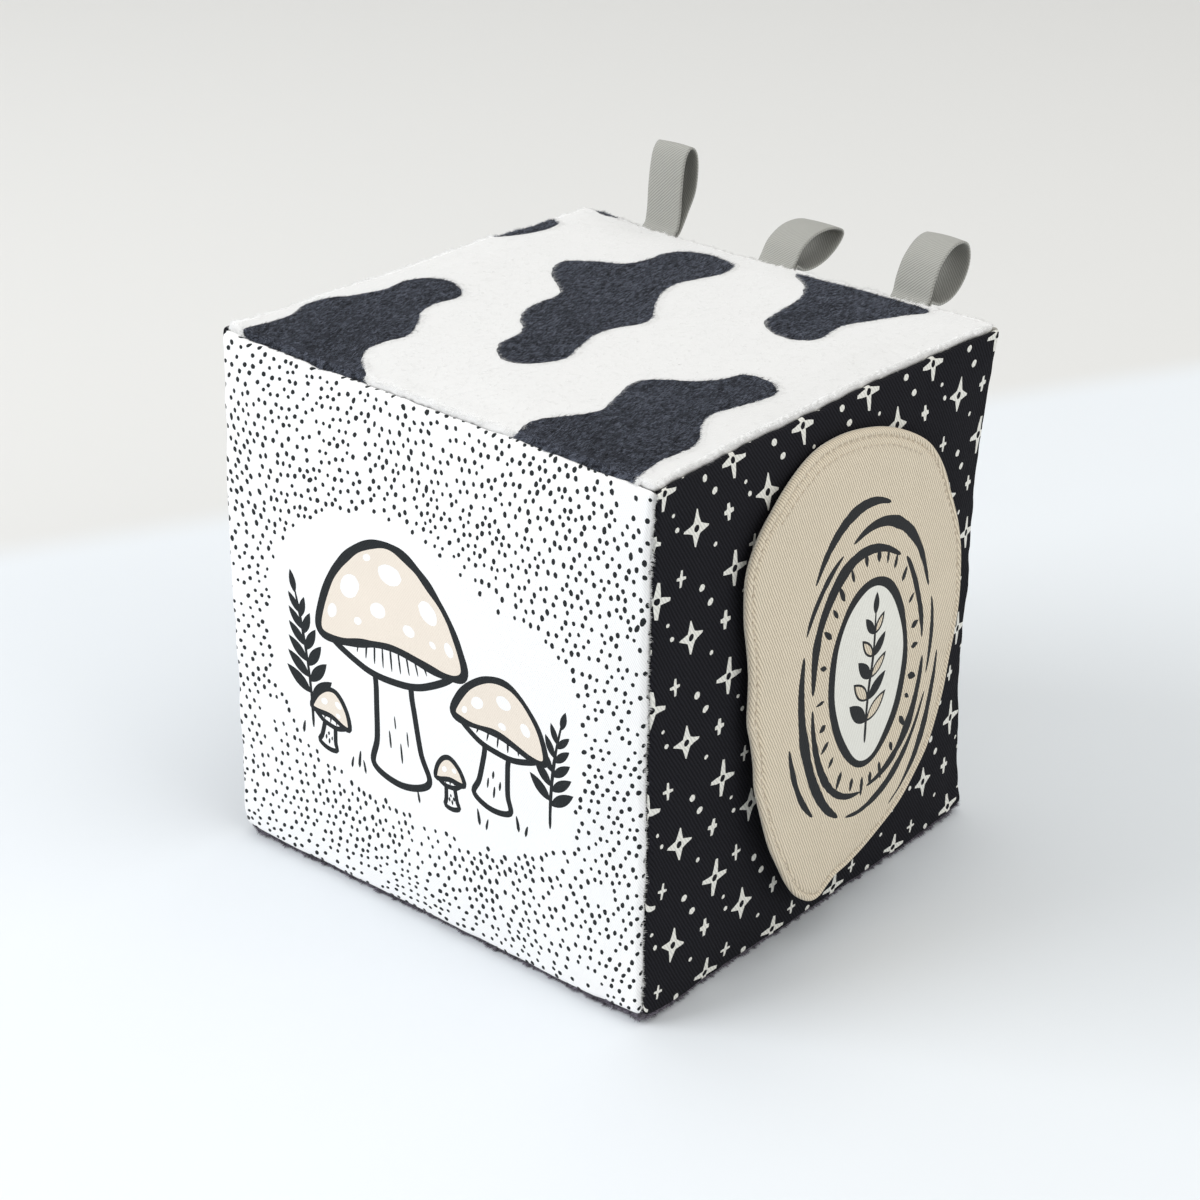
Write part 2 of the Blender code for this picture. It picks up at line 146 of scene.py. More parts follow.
def slack(q):
    """How the sewn cloth strays from that shape: one field for the whole cover,
    so that panels which meet in a seam move together. q is on the plain cube."""
    far = np.sort(np.abs(q), axis=1)
    e = np.clip(HALF - far[:, 1], 0, None)  # distance from the nearest seam
    out = np.zeros_like(q)
    for k in range(3):
        out[:, k] = (
            0.24 * MM * np.exp(-e / (1.7 * MM)) * noise(q, 2.5 * MM, 41 + k)
            + 0.42 * MM * np.exp(-e / (4.0 * MM)) * noise(q, 5.0 * MM, 11 + k)
            + 0.42 * MM * np.exp(-e / (14 * MM)) * noise(q, 15 * MM, 21 + k)
            + 0.40 * MM * noise(q, 46 * MM, 31 + k)
        )
    out[:, 2] *= step(q[:, 2] + HALF, 1.5 * MM, 14 * MM)
    return out


SIM = {}  # what the cloth simulation adds


def simulate(grid=30, frames=20):
    """The closed cover blown up a little by its filling. What is kept is how
    the cloth ripples, not how far the whole face swells: the foam holds that."""
    places, verts, faces = {}, [], []
    s = np.linspace(-HALF, HALF, grid + 1)

    def vert(p):
        k = tuple(np.round(p * 1e5).astype(int))
        if k not in places:
            places[k] = len(verts)
            verts.append(p)
        return places[k]

    for u, v in (((1, 0, 0), (0, 1, 0)), ((1, 0, 0), (0, 0, 1)), ((0, 1, 0), (0, 0, 1))):
        for way in (1, -1):
            uu, vv = np.array(u, float) * way, np.array(v, float)
            if u == (1, 0, 0) and v == (0, 1, 0):
                uu, vv = np.array(u, float), np.array(v, float) * way
            n = np.cross(uu, vv) * HALF
            ids = [[vert(uu * a + vv * b + n) for b in s] for a in s]
            for i in range(grid):
                for j in range(grid):
                    faces.append((ids[i][j], ids[i + 1][j], ids[i + 1][j + 1], ids[i][j + 1]))
    cube = np.array(verts)
    start = pillow(cube) + 2.5 * slack(cube)
    me = bpy.data.meshes.new("cover")
    me.from_pydata([tuple(p) for p in start], [], faces)
    me.update()
    ob = bpy.data.objects.new("cover", me)
    bpy.context.scene.collection.objects.link(ob)
    mod = ob.modifiers.new("cloth", "CLOTH")
    c = mod.settings
    c.quality, c.mass = 5, 0.3
    c.tension_stiffness = c.compression_stiffness = 15
    c.shear_stiffness, c.bending_stiffness = 5, 0.05
    c.use_pressure, c.uniform_pressure_force, c.shrink_min = True, 0.6, -0.02
    c.effector_weights.gravity = 0.0
    mod.collision_settings.use_collision = False
    mod.point_cache.frame_start, mod.point_cache.frame_end = 1, frames
    scene = bpy.context.scene
    for f in range(1, frames + 1):
        scene.frame_set(f)
    seen = ob.evaluated_get(bpy.context.evaluated_depsgraph_get())
    end = np.zeros(len(verts) * 3)
    seen.to_mesh().vertices.foreach_get("co", end)
    seen.to_mesh_clear()
    scene.frame_set(1)
    bpy.data.objects.remove(ob)
    bpy.data.meshes.remove(me)
    move = end.reshape(-1, 3) - start
    move -= move.mean(axis=0)
    f = np.array(faces)
    a = np.concatenate([f[:, 0], f[:, 1], f[:, 2], f[:, 3]])
    b = np.concatenate([f[:, 1], f[:, 2], f[:, 3], f[:, 0]])
    count = np.bincount(a, minlength=len(verts))[:, None] + np.bincount(b, minlength=len(verts))[:, None]
    wide = move.copy()
    for _ in range(12):
        total = np.zeros_like(wide)
        np.add.at(total, a, wide[b])
        np.add.at(total, b, wide[a])
        wide = 0.5 * wide + 0.5 * total / count
    ripple = np.clip(0.40 * (move - wide), -0.5 * MM, 0.5 * MM)
    # kept on a lattice, so that a point of any panel can ask for it
    from mathutils.kdtree import KDTree

    tree = KDTree(len(cube))
    for i, p in enumerate(cube):
        tree.insert(p, i)
    tree.balance()
    m = 31
    side = HALF + 2 * MM
    line = np.linspace(-side, side, m)
    lattice = np.zeros((m, m, m, 3))
    for i, x in enumerate(line):
        for j, y in enumerate(line):
            for k, z in enumerate(line):
                if max(abs(x), abs(y), abs(z)) < HALF - 14 * MM:
                    continue
                near = tree.find_n((x, y, z), 4)
                w = np.array([1 / (d + 0.5 * MM) for _, _, d in near])
                lattice[i, j, k] = (ripple[[n[1] for n in near]] * w[:, None]).sum(axis=0) / w.sum()

    def at(q):
        t = (np.clip(q, -side, side * 0.9999) + side) / (2 * side) * (m - 1)
        i = np.clip(np.floor(t).astype(int), 0, m - 2)
        f = t - i
        out = np.zeros_like(q)
        for dx in (0, 1):
            for dy in (0, 1):
                for dz in (0, 1):
                    w = np.abs(1 - dx - f[:, 0]) * np.abs(1 - dy - f[:, 1]) * np.abs(1 - dz - f[:, 2])
                    out += w[:, None] * lattice[i[:, 0] + dx, i[:, 1] + dy, i[:, 2] + dz]
        out[:, 2] *= step(q[:, 2] + HALF, 1.5 * MM, 14 * MM)
        return out

    SIM["at"] = at


simulate()


def cover(q):
    """A point of the plain cube on the finished cover."""
    p = pillow(q) + slack(q)
    if SIM:
        p = p + SIM["at"](q)
    return p


# --------------------------------------------------------------- mesh making
def mesh_of(name, verts, tris, marks=None, mats=(), flat=None, smooth=True, extra=None):
    """An object from arrays: points (N,3), triangles (M,3), a material number
    for each triangle, and the cloth's own flat coordinates in millimetres."""
    me = bpy.data.meshes.new(name)
    verts = np.asarray(verts, np.float32)
    tris = np.asarray(tris, np.int32)
    me.vertices.add(len(verts))
    me.vertices.foreach_set("co", verts.ravel())
    me.loops.add(tris.size)
    me.loops.foreach_set("vertex_index", tris.ravel())
    me.polygons.add(len(tris))
    me.polygons.foreach_set("loop_start", np.arange(0, tris.size, 3, dtype=np.int32))
    for m in mats:
        me.materials.append(m)
    if marks is not None:
        me.polygons.foreach_set("material_index", np.asarray(marks, np.int32))
    me.update(calc_edges=True)
    me.validate()
    if smooth:
        me.shade_smooth()
    if flat is not None:
        f = np.zeros((len(verts), 3), np.float32)
        f[:, : flat.shape[1]] = flat * 1000
        at = me.attributes.new("flat", "FLOAT_VECTOR", "POINT")
        at.data.foreach_set("vector", f.ravel())
    for key, values in (extra or {}).items():
        at = me.attributes.new(key, "FLOAT", "POINT")
        at.data.foreach_set("value", np.asarray(values, np.float32))
    ob = bpy.data.objects.new(name, me)
    bpy.context.scene.collection.objects.link(ob)
    return ob


def vertex_normals(v, t):
    a, b, c = v[t[:, 0]], v[t[:, 1]], v[t[:, 2]]
    n = np.cross(b - a, c - a)
    out = np.zeros_like(v)
    for k in range(3):
        np.add.at(out, t[:, k], n)
    return out / np.maximum(np.linalg.norm(out, axis=1, keepdims=True), 1e-12)


def rim_of(t):
    """The directed edges that only one triangle uses."""
    e = np.concatenate([t[:, [0, 1]], t[:, [1, 2]], t[:, [2, 0]]])
    top = int(t.max()) + 1
    key, back = e[:, 0] * top + e[:, 1], e[:, 1] * top + e[:, 0]
    return e[~np.isin(key, back)]


def thicken(v, t, marks, thick):
    """The one-sided cloth made a closed sheet, its thickness going inwards."""
    t = t.astype(np.int64)
    n = vertex_normals(v, t)
    k = len(v)
    rim = rim_of(t)
    sides = np.concatenate(
        [np.column_stack([rim[:, 1], rim[:, 0], rim[:, 0] + k]), np.column_stack([rim[:, 1], rim[:, 0] + k, rim[:, 1] + k])]
    )
    verts = np.concatenate([v, v - n * np.asarray(thick).reshape(-1, 1)])
    tris = np.concatenate([t, t[:, ::-1] + k, sides])
    more = np.zeros(len(t) + len(sides), np.int32)
    return verts, tris, np.concatenate([marks, more])


def cut(points, shapes, keep_within=None):
    """The cloth as triangles, with each shape of the print cut into it.

    shapes is a list of (material number, outline), and a later one lies over
    an earlier one. Returns points (N,2), triangles and material numbers.
    """
    loops = [(s[0], left_handed(s[1])) for s in shapes]
    coords, edges = [], []
    rim = [] if keep_within is None else [left_handed(keep_within)]
    for loop in rim + [loop for _, loop in loops]:
        b = len(coords)
        coords.extend(Vector((p[0] * 1000, p[1] * 1000)) for p in loop)
        edges.extend((b + i, b + (i + 1) % len(loop)) for i in range(len(loop)))
    points = np.asarray(points, float) * 1000
    if coords:
        size = 0.26
        cells = {(math.floor(c.x / size), math.floor(c.y / size)) for c in coords}
        cx, cy = np.floor(points[:, 0] / size).astype(int), np.floor(points[:, 1] / size).astype(int)
        free = [not any((a + i, b + j) in cells for i in (-1, 0, 1) for j in (-1, 0, 1)) for a, b in zip(cx, cy)]
        points = points[np.array(free) | (np.abs(points).max(axis=1) >= np.abs(points).max() - 1e-6) & (keep_within is None)]
    coords.extend(Vector((x, y)) for x, y in points)
    out = delaunay_2d_cdt(coords, edges, [], 0, 1e-5, False)
    v = np.array([[p.x, p.y] for p in out[0]]) / 1000
    tris = np.array([f for f in out[2] if len(f) == 3], np.int64)
    a, b, c = v[tris[:, 0]], v[tris[:, 1]], v[tris[:, 2]]
    area = (b[:, 0] - a[:, 0]) * (c[:, 1] - a[:, 1]) - (b[:, 1] - a[:, 1]) * (c[:, 0] - a[:, 0])
    tris = np.where((area < 0)[:, None], tris[:, ::-1], tris)
    tris = tris[np.abs(area) > 1e-13]
    mid = v[tris].mean(axis=1)
    order = np.argsort(mid[:, 0], kind="stable")
    mid_x = mid[order, 0]
    found = np.zeros(len(tris), np.int32)
    for mark, loop in loops:
        lo, hi = loop.min(axis=0), loop.max(axis=0)
        some = order[np.searchsorted(mid_x, lo[0]) : np.searchsorted(mid_x, hi[0])]
        some = some[(mid[some, 1] > lo[1]) & (mid[some, 1] < hi[1])]
        if len(some):
            found[some[winding(mid[some], loop) > 0]] = mark
    if keep_within is not None:
        ok = winding(mid, rim[0]) > 0
        tris, found = tris[ok], found[ok]
    return v, tris, found


def left_handed(loop):
    """The outline run so that it has its inside on its left."""
    loop = np.asarray(loop, float)
    nxt = np.roll(loop, -1, axis=0)
    return loop if (loop[:, 0] * nxt[:, 1] - nxt[:, 0] * loop[:, 1]).sum() > 0 else loop[::-1]


def winding(xy, loop):
    """How many times the outline goes round each point."""
    x, y = xy[:, 0], xy[:, 1]
    out = np.zeros(len(xy), int)
    for i in range(len(loop)):
        (x0, y0), (x1, y1) = loop[i - 1], loop[i]
        if y0 == y1:
            continue
        side = (x1 - x0) * (y - y0) - (x - x0) * (y1 - y0)
        if y1 > y0:
            out += (y0 <= y) & (y < y1) & (side > 0)
        else:
            out -= (y1 <= y) & (y < y0) & (side < 0)
    return out


def clip_square(loop, limit):
    """The part of an outline inside the square of that half width."""
    pts = [tuple(p) for p in loop]
    for axis in (0, 1):
        for sign in (1, -1):
            out = []
            for i in range(len(pts)):
                a, b = pts[i - 1], pts[i]
                ia, ib = sign * a[axis] <= limit, sign * b[axis] <= limit
                if ia != ib:
                    t = (sign * limit - a[axis]) / (b[axis] - a[axis])
                    out.append(tuple(a[k] + (b[k] - a[k]) * t for k in (0, 1)))
                if ib:
                    out.append(b)
            pts = out
            if not pts:
                return None
    clean = []
    for p in pts:
        if not clean or math.dist(p, clean[-1]) > 0.00002:
            clean.append(p)
    if len(clean) > 2 and math.dist(clean[0], clean[-1]) <= 0.00002:
        clean.pop()
    return np.array(clean) if len(clean) > 2 else None


# ------------------------------------------------------------ drawing shapes
def smooth_line(points, closed=False, pace=0.0008):
    """Points evenly along a Catmull-Rom curve through the given points."""
    p = np.asarray(points, float)
    n = len(p)
    spans = n if closed else n - 1
    line = []
    for i in range(spans):
        get = (lambda k: p[k % n]) if closed else (lambda k: p[min(max(k, 0), n - 1)])
        p0, p1, p2, p3 = get(i - 1), get(i), get(i + 1), get(i + 2)
        for s in range(16):
            t = s / 16
            line.append(
                0.5 * (2 * p1 + (p2 - p0) * t + (2 * p0 - 5 * p1 + 4 * p2 - p3) * t * t + (3 * p1 - p0 - 3 * p2 + p3) * t**3)
            )
    line.append(p[0] if closed else p[-1])
    line = np.array(line)
    along = np.concatenate([[0], np.cumsum(np.linalg.norm(np.diff(line, axis=0), axis=1))])
    count = max(4, int(round(along[-1] / pace)) + 1)
    at = np.linspace(0, along[-1], count)
    out = np.stack([np.interp(at, along, line[:, k]) for k in range(p.shape[1])], axis=1)
    return out[:-1] if closed else out


def blob(points, rough=0.0, seed=1, pace=0.0008):
    """A closed hand-drawn outline through the given points, in metres."""
    line = smooth_line(points, True, pace)
    if rough:
        line = line + rough * np.column_stack([flat_noise(line, 0.0016, seed), flat_noise(line, 0.0016, seed + 3)])
    return line


def stroke(points, width, ends=(0.15, 0.15), blunt=0.35, seed=1, pace=0.0007, closed=False):
    """A brush stroke along the given points, thin at its ends, as an outline."""
    line = smooth_line(points, closed, pace)
    n = len(line)
    if closed:
        d = np.roll(line, -1, axis=0) - np.roll(line, 1, axis=0)
    else:
        d = np.gradient(line, axis=0)
    d /= np.maximum(np.linalg.norm(d, axis=1, keepdims=True), 1e-9)
    side = np.column_stack([-d[:, 1], d[:, 0]])
    t = np.linspace(0, 1, n)
    w = np.ones(n)
    if not closed:
        w *= blunt + (1 - blunt) * np.sqrt(np.clip(t / max(ends[0], 1e-6), 0, 1))
        w *= blunt + (1 - blunt) * np.sqrt(np.clip((1 - t) / max(ends[1], 1e-6), 0, 1))
    w = w * (1 + 0.22 * flat_noise(line, 0.006, seed) + 0.08 * flat_noise(line, 0.0014, seed + 1)) * width / 2
    left, right = line + side * w[:, None], line - side * w[:, None]
    if closed:
        return left, right
    cap = lambda at, way, r: np.array(
        [at + (way * math.cos(a) + np.array([-way[1], way[0]]) * math.sin(a)) * r for a in (0.9, 0.0, -0.9)]
    )
    end = cap(line[-1], d[-1], w[-1])
    start = cap(line[0], -d[0], w[0])
    return np.concatenate([left, end, right[::-1], start])


def oval(x, y, a, b, turn=0.0, n=12, rough=0.0, seed=1):
    """An ellipse with half axes a and b, turned by an angle in degrees."""
    t = np.arange(n) * 2 * math.pi / n
    c, s = math.cos(math.radians(turn)), math.sin(math.radians(turn))
    r = 1 + rough * np.array([scatter(np.array([[i, seed, 3]]), 5)[0] for i in range(n)])
    px, py = a * np.cos(t) * r, b * np.sin(t) * r
    return np.column_stack([x + px * c - py * s, y + px * s + py * c])


def moved(loop, dx=0.0, dy=0.0, scale=1.0, turn=0.0):
    c, s = math.cos(math.radians(turn)) * scale, math.sin(math.radians(turn)) * scale
    loop = np.asarray(loop, float)
    return np.column_stack([loop[:, 0] * c - loop[:, 1] * s + dx, loop[:, 0] * s + loop[:, 1] * c + dy])


def inside(xy, loop):
    """Which points lie in the outline."""
    xy, loop = np.asarray(xy, float), np.asarray(loop, float)
    x, y = xy[:, 0], xy[:, 1]
    out = np.zeros(len(xy), bool)
    for i in range(len(loop)):
        (x0, y0), (x1, y1) = loop[i - 1], loop[i]
        if y0 == y1:
            continue
        hit = ((y0 > y) != (y1 > y)) & (x < (x1 - x0) * (y - y0) / (y1 - y0) + x0)
        out ^= hit
    return out


# ----------------------------------------------------------------- materials
def new_material(name):
    m = bpy.data.materials.new(name)
    m.use_nodes = True
    t = m.node_tree
    return m, t, t.nodes["Principled BSDF"]


def nd(t, kind, **values):
    n = t.nodes.new(kind)
    for k, v in values.items():
        if k.startswith("i_"):
            n.inputs[int(k[2:])].default_value = v
        else:
            setattr(n, k, v)
    return n


def math_node(t, op, a, b=None, c=None):
    n = t.nodes.new("ShaderNodeMath")
    n.operation = op
    for i, x in enumerate((a, b, c)):
        if x is None:
            continue
        if isinstance(x, (int, float)):
            n.inputs[i].default_value = x
        else:
            t.links.new(x, n.inputs[i])
    return n.outputs[0]


def mix_colour(t, factor, a, b, kind="MIX"):
    n = t.nodes.new("ShaderNodeMix")
    n.data_type = "RGBA"
    n.blend_type = kind
    for i, x in ((0, factor), (6, a), (7, b)):
        if isinstance(x, (int, float)):
            n.inputs[i].default_value = x
        elif isinstance(x, tuple):
            n.inputs[i].default_value = (*x, 1.0) if len(x) == 3 else x
        else:
            t.links.new(x, n.inputs[i])
    return n.outputs[2]


def flat_at(t):
    n = t.nodes.new("ShaderNodeAttribute")
    n.attribute_name = "flat"
    return n.outputs["Vector"]


def noise_node(t, vector, scale, detail=3.0, rough=0.55):
    n = t.nodes.new("ShaderNodeTexNoise")
    n.inputs["Scale"].default_value = scale
    n.inputs["Detail"].default_value = detail
    n.inputs["Roughness"].default_value = rough
    if vector is not None:
        t.links.new(vector, n.inputs["Vector"])
    return n.outputs["Fac"]


def linear(*rgb):
    return tuple((c / 12.92 if c <= 0.04045 else ((c + 0.055) / 1.055) ** 2.4) for c in (x / 255 for x in rgb))


def twill(name, rgb, valley, pitch=1.0, angle=-57.0, depth=0.10, fuzz=0.25, rough=0.85, mottle=0.06, contrast=1.0, spec=0.25):
    """Twill: round ribs on the slant, each made of short yarn floats."""
    m, t, p = new_material(name)
    flat = flat_at(t)
    ramp = nd(t, "ShaderNodeSeparateXYZ")
    t.links.new(flat, ramp.inputs[0])
    x, y = ramp.outputs[0], ramp.outputs[1]
    a = math.radians(angle)
    wander = noise_node(t, flat, 0.45, 2.0)
    across = math_node(
        t,
        "ADD",
        math_node(
            t, "ADD", math_node(t, "MULTIPLY", x, -math.sin(a) / pitch), math_node(t, "MULTIPLY", y, math.cos(a) / pitch)
        ),
        math_node(t, "MULTIPLY", wander, 0.5),
    )
    along = math_node(
        t, "ADD", math_node(t, "MULTIPLY", x, math.cos(a) / pitch), math_node(t, "MULTIPLY", y, math.sin(a) / pitch)
    )
    rib = math_node(t, "ABSOLUTE", math_node(t, "SINE", math_node(t, "MULTIPLY", across, math.pi)))
    row = math_node(t, "FLOOR", across)
    place = math_node(t, "ADD", math_node(t, "MULTIPLY", along, 1.15), math_node(t, "MULTIPLY", row, 0.37))
    float_ = math_node(t, "ABSOLUTE", math_node(t, "SINE", math_node(t, "MULTIPLY", place, math.pi)))
    yarn = math_node(t, "POWER", float_, 0.4)
    hair = noise_node(t, flat, 6.0, 4.0, 0.7)
    height = math_node(
        t,
        "ADD",
        math_node(t, "MULTIPLY", math_node(t, "POWER", rib, 0.7), math_node(t, "MULTIPLY_ADD", yarn, 0.35, 0.65)),
        math_node(t, "MULTIPLY", hair, 0.30),
    )
    shade = math_node(t, "POWER", rib, 0.55)
    shade = math_node(t, "MULTIPLY", shade, math_node(t, "MULTIPLY_ADD", yarn, 0.25, 0.75))
    shade = math_node(t, "MULTIPLY_ADD", math_node(t, "SUBTRACT", shade, 1.0), contrast, 1.0)
    colour = mix_colour(t, shade, valley, rgb)
    blotch = noise_node(t, flat, 0.05, 4.0)
    blotch = math_node(t, "MULTIPLY_ADD", math_node(t, "SUBTRACT", blotch, 0.5), 2 * mottle, 1.0)
    slub = math_node(t, "MULTIPLY_ADD", math_node(t, "SUBTRACT", hair, 0.5), 0.30, 1.0)
    both = math_node(t, "MULTIPLY", blotch, slub)
    scale = nd(t, "ShaderNodeVectorMath", operation="SCALE")
    t.links.new(colour, scale.inputs[0])
    t.links.new(both, scale.inputs["Scale"])
    t.links.new(scale.outputs[0], p.inputs["Base Color"])
    bump = nd(t, "ShaderNodeBump")
    bump.inputs["Strength"].default_value = 0.9
    bump.inputs["Distance"].default_value = depth * MM
    t.links.new(height, bump.inputs["Height"])
    t.links.new(bump.outputs[0], p.inputs["Normal"])
    rough_out = math_node(t, "MULTIPLY_ADD", hair, 0.2, rough - 0.1)
    t.links.new(rough_out, p.inputs["Roughness"])
    p.inputs["Specular IOR Level"].default_value = spec
    p.inputs["Sheen Weight"].default_value = fuzz
    p.inputs["Sheen Roughness"].default_value = 0.6
    return m


def pile_ground(name, rgb, dark, streak=(0.8, 2.6), fuzz=0.5, relief=0.25):
    """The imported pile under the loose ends: mottled and streaked by its nap."""
    m, t, p = new_material(name)
    flat = flat_at(t)
    mp = nd(t, "ShaderNodeMapping")
    mp.inputs["Rotation"].default_value = (0, 0, math.radians(-38))
    mp.inputs["Scale"].default_value = (streak[0], streak[1], 1.0)
    t.links.new(flat, mp.inputs["Vector"])
    fine = noise_node(t, mp.outputs[0], 1.0, 5.0, 0.75)
    wide = noise_node(t, flat, 0.07, 3.0)
    f = math_node(t, "MULTIPLY_ADD", math_node(t, "SUBTRACT", fine, 0.5), 2.2, 0.5)
    f = math_node(t, "ADD", f, math_node(t, "MULTIPLY", math_node(t, "SUBTRACT", wide, 0.5), 0.5))
    clamp = nd(t, "ShaderNodeClamp")
    t.links.new(f, clamp.inputs[0])
    t.links.new(mix_colour(t, clamp.outputs[0], dark, rgb), p.inputs["Base Color"])
    bump = nd(t, "ShaderNodeBump")
    bump.inputs["Strength"].default_value = 0.7
    bump.inputs["Distance"].default_value = relief * MM
    t.links.new(fine, bump.inputs["Height"])
    t.links.new(bump.outputs[0], p.inputs["Normal"])
    p.inputs["Roughness"].default_value = 0.95
    p.inputs["Specular IOR Level"].default_value = 0.15
    p.inputs["Sheen Weight"].default_value = fuzz
    p.inputs["Sheen Roughness"].default_value = 0.5
    return m


def fibre(name, root, tip, fuzz=0.3):
    """Loose pile: each fibre has its own shade, and pales towards its tip."""
    m, t, p = new_material(name)
    shade = nd(t, "ShaderNodeAttribute")
    shade.attribute_name = "shade"
    lo = mix_colour(t, shade.outputs["Fac"], root, tip)
    co = nd(t, "ShaderNodeTexCoord")
    grain = noise_node(t, co.outputs["Object"], 900.0, 2.0)
    gain = math_node(t, "MULTIPLY_ADD", grain, 0.2, 0.9)
    scale = nd(t, "ShaderNodeVectorMath", operation="SCALE")
    t.links.new(lo, scale.inputs[0])
    t.links.new(gain, scale.inputs["Scale"])
    t.links.new(scale.outputs[0], p.inputs["Base Color"])
    p.inputs["Roughness"].default_value = 0.8
    p.inputs["Specular IOR Level"].default_value = 0.2
    p.inputs["Sheen Weight"].default_value = fuzz
    return m


def plain(name, rgb, other, scale, rough, bump_mm=0.05, detail=4.0, sheen=0.0, spec=0.4):
    """A surface with a procedural grain in colour, roughness and height."""
    m, t, p = new_material(name)
    co = nd(t, "ShaderNodeTexCoord")
    n = noise_node(t, co.outputs["Object"], scale, detail)
    t.links.new(mix_colour(t, n, other, rgb), p.inputs["Base Color"])
    t.links.new(math_node(t, "MULTIPLY_ADD", n, 0.2, rough - 0.1), p.inputs["Roughness"])
    bump = nd(t, "ShaderNodeBump")
    bump.inputs["Strength"].default_value = 0.6
    bump.inputs["Distance"].default_value = bump_mm * MM
    t.links.new(n, bump.inputs["Height"])
    t.links.new(bump.outputs[0], p.inputs["Normal"])
    p.inputs["Specular IOR Level"].default_value = spec
    p.inputs["Sheen Weight"].default_value = sheen
    return m


def thread(name, rgb, dark):
    """Two-ply thread: its plies show as slanting stripes along each stitch."""
    m, t, p = new_material(name)
    flat = flat_at(t)
    sep = nd(t, "ShaderNodeSeparateXYZ")
    t.links.new(flat, sep.inputs[0])
    turn = math_node(
        t, "ADD", math_node(t, "MULTIPLY", sep.outputs[0], 2 * math.pi / 0.55), sep.outputs[1]
    )
    ply = math_node(t, "ABSOLUTE", math_node(t, "SINE", turn))
    t.links.new(mix_colour(t, ply, dark, rgb), p.inputs["Base Color"])
    bump = nd(t, "ShaderNodeBump")
    bump.inputs["Strength"].default_value = 0.8
    bump.inputs["Distance"].default_value = 0.06 * MM
    t.links.new(ply, bump.inputs["Height"])
    t.links.new(bump.outputs[0], p.inputs["Normal"])
    p.inputs["Roughness"].default_value = 0.6
    p.inputs["Sheen Weight"].default_value = 0.2
    return m


WHITE = twill("white_twill", linear(248, 248, 248), linear(220, 221, 224), 0.62, -57, 0.05, 0.1, 0.85, 0.015)
DOT_INK = twill("black_print_on_white", linear(24, 28, 31), linear(38, 42, 45), 0.62, -57, 0.05, 0.0, 0.75, 0.10)
TAN_PRINT = twill("tan_print_on_white", linear(233, 223, 211), linear(214, 203, 190), 0.62, -57, 0.05, 0.0, 0.8, 0.02)
BLACK = twill("black_twill", linear(37, 37, 42), linear(6, 6, 8), 0.98, -57, 0.16, 0.0, 0.95, 0.12, 1.0, 0.08)
STAR_INK = twill("white_print_on_black", linear(236, 235, 228), linear(186, 186, 182), 0.98, -57, 0.10, 0.1, 0.8, 0.04, 0.8)
GREY = twill("grey_twill", linear(176, 174, 168), linear(140, 138, 133), 0.80, -57, 0.10, 0.2, 0.88, 0.05)
GREY_INK = twill("white_print_on_grey", linear(238, 237, 232), linear(208, 207, 202), 0.80, -57, 0.08, 0.1, 0.8, 0.03)
TAN = twill("tan_twill", linear(238, 226, 205), linear(148, 130, 103), 0.80, -66, 0.20, 0.1, 0.88, 0.05, 1.0)
FLAP_INK = twill("black_print_on_tan", linear(32, 35, 38), linear(48, 48, 49), 0.66, -72, 0.06, 0.0, 0.75, 0.08)
FLAP_WHITE = twill("white_print_on_tan", linear(236, 236, 230), linear(212, 210, 202), 0.66, -72, 0.06, 0.1, 0.8, 0.03)
CREAM = twill("cream_twill", linear(224, 216, 200), linear(190, 180, 162), 0.80, -57, 0.10, 0.2, 0.88, 0.04)
RIBBON = twill("grey_tape", linear(174, 174, 169), linear(118, 118, 113), 0.70, 45, 0.12, 0.1, 0.85, 0.05)
# a darker, duller copy of the grey tape for the inner faces of the loops: painted shade for the shadow inside each loop
RIBBON_PAINTED_SHADE = twill("grey_tape_painted_shade", linear(146, 146, 141), linear(98, 98, 94), 0.70, 45, 0.12, 0.1, 0.9, 0.05)
PLUSH_WHITE = pile_ground("white_plush", linear(226, 226, 226), linear(220, 220, 220), relief=0.05, fuzz=0.2)
PLUSH_DARK = pile_ground("dark_plush", linear(66, 70, 81), linear(20, 21, 26), fuzz=0.03)
BASE_GROUND = pile_ground("charcoal_plush", linear(112, 106, 118), linear(62, 58, 67), fuzz=0.2)
FIBRE_WHITE = fibre("white_pile", linear(252, 252, 252), linear(253, 253, 253), 0.4)
FIBRE_DARK = fibre("dark_pile", linear(20, 21, 26), linear(140, 147, 165), 0.03)
FIBRE_BASE = fibre("charcoal_pile", linear(74, 70, 80), linear(158, 151, 166), 0.3)
THREAD_TAN = thread("tan_thread", linear(216, 204, 186), linear(182, 166, 142))
THREAD_BLACK = thread("black_thread", linear(48, 48, 52), linear(20, 20, 22))
FOAM = plain("open_cell_foam", linear(236, 230, 208), linear(212, 202, 172), 1400.0, 0.95, 0.5, 6.0, 0.1, 0.2)
SHELL = plain("rattle_capsule", linear(226, 228, 232), linear(214, 216, 222), 60.0, 0.32, 0.02, 2.0)
PELLET = plain("rattle_pellet", linear(186, 190, 198), linear(172, 176, 186), 90.0, 0.35, 0.02, 2.0)
FILM = plain("crinkle_film", linear(206, 212, 216), linear(178, 186, 192), 220.0, 0.25, 0.20, 5.0)


# -------------------------------------------------------------------- panels
def norm_of(x, y, p=150.0):
    """Like the larger of |x| and |y|, with a little roundness at the corners."""
    big = np.maximum(np.abs(x), np.abs(y))
    small = np.minimum(np.abs(x), np.abs(y))
    big = np.maximum(big, 1e-9)
    return big * (1 + (small / big) ** p) ** (1 / p)


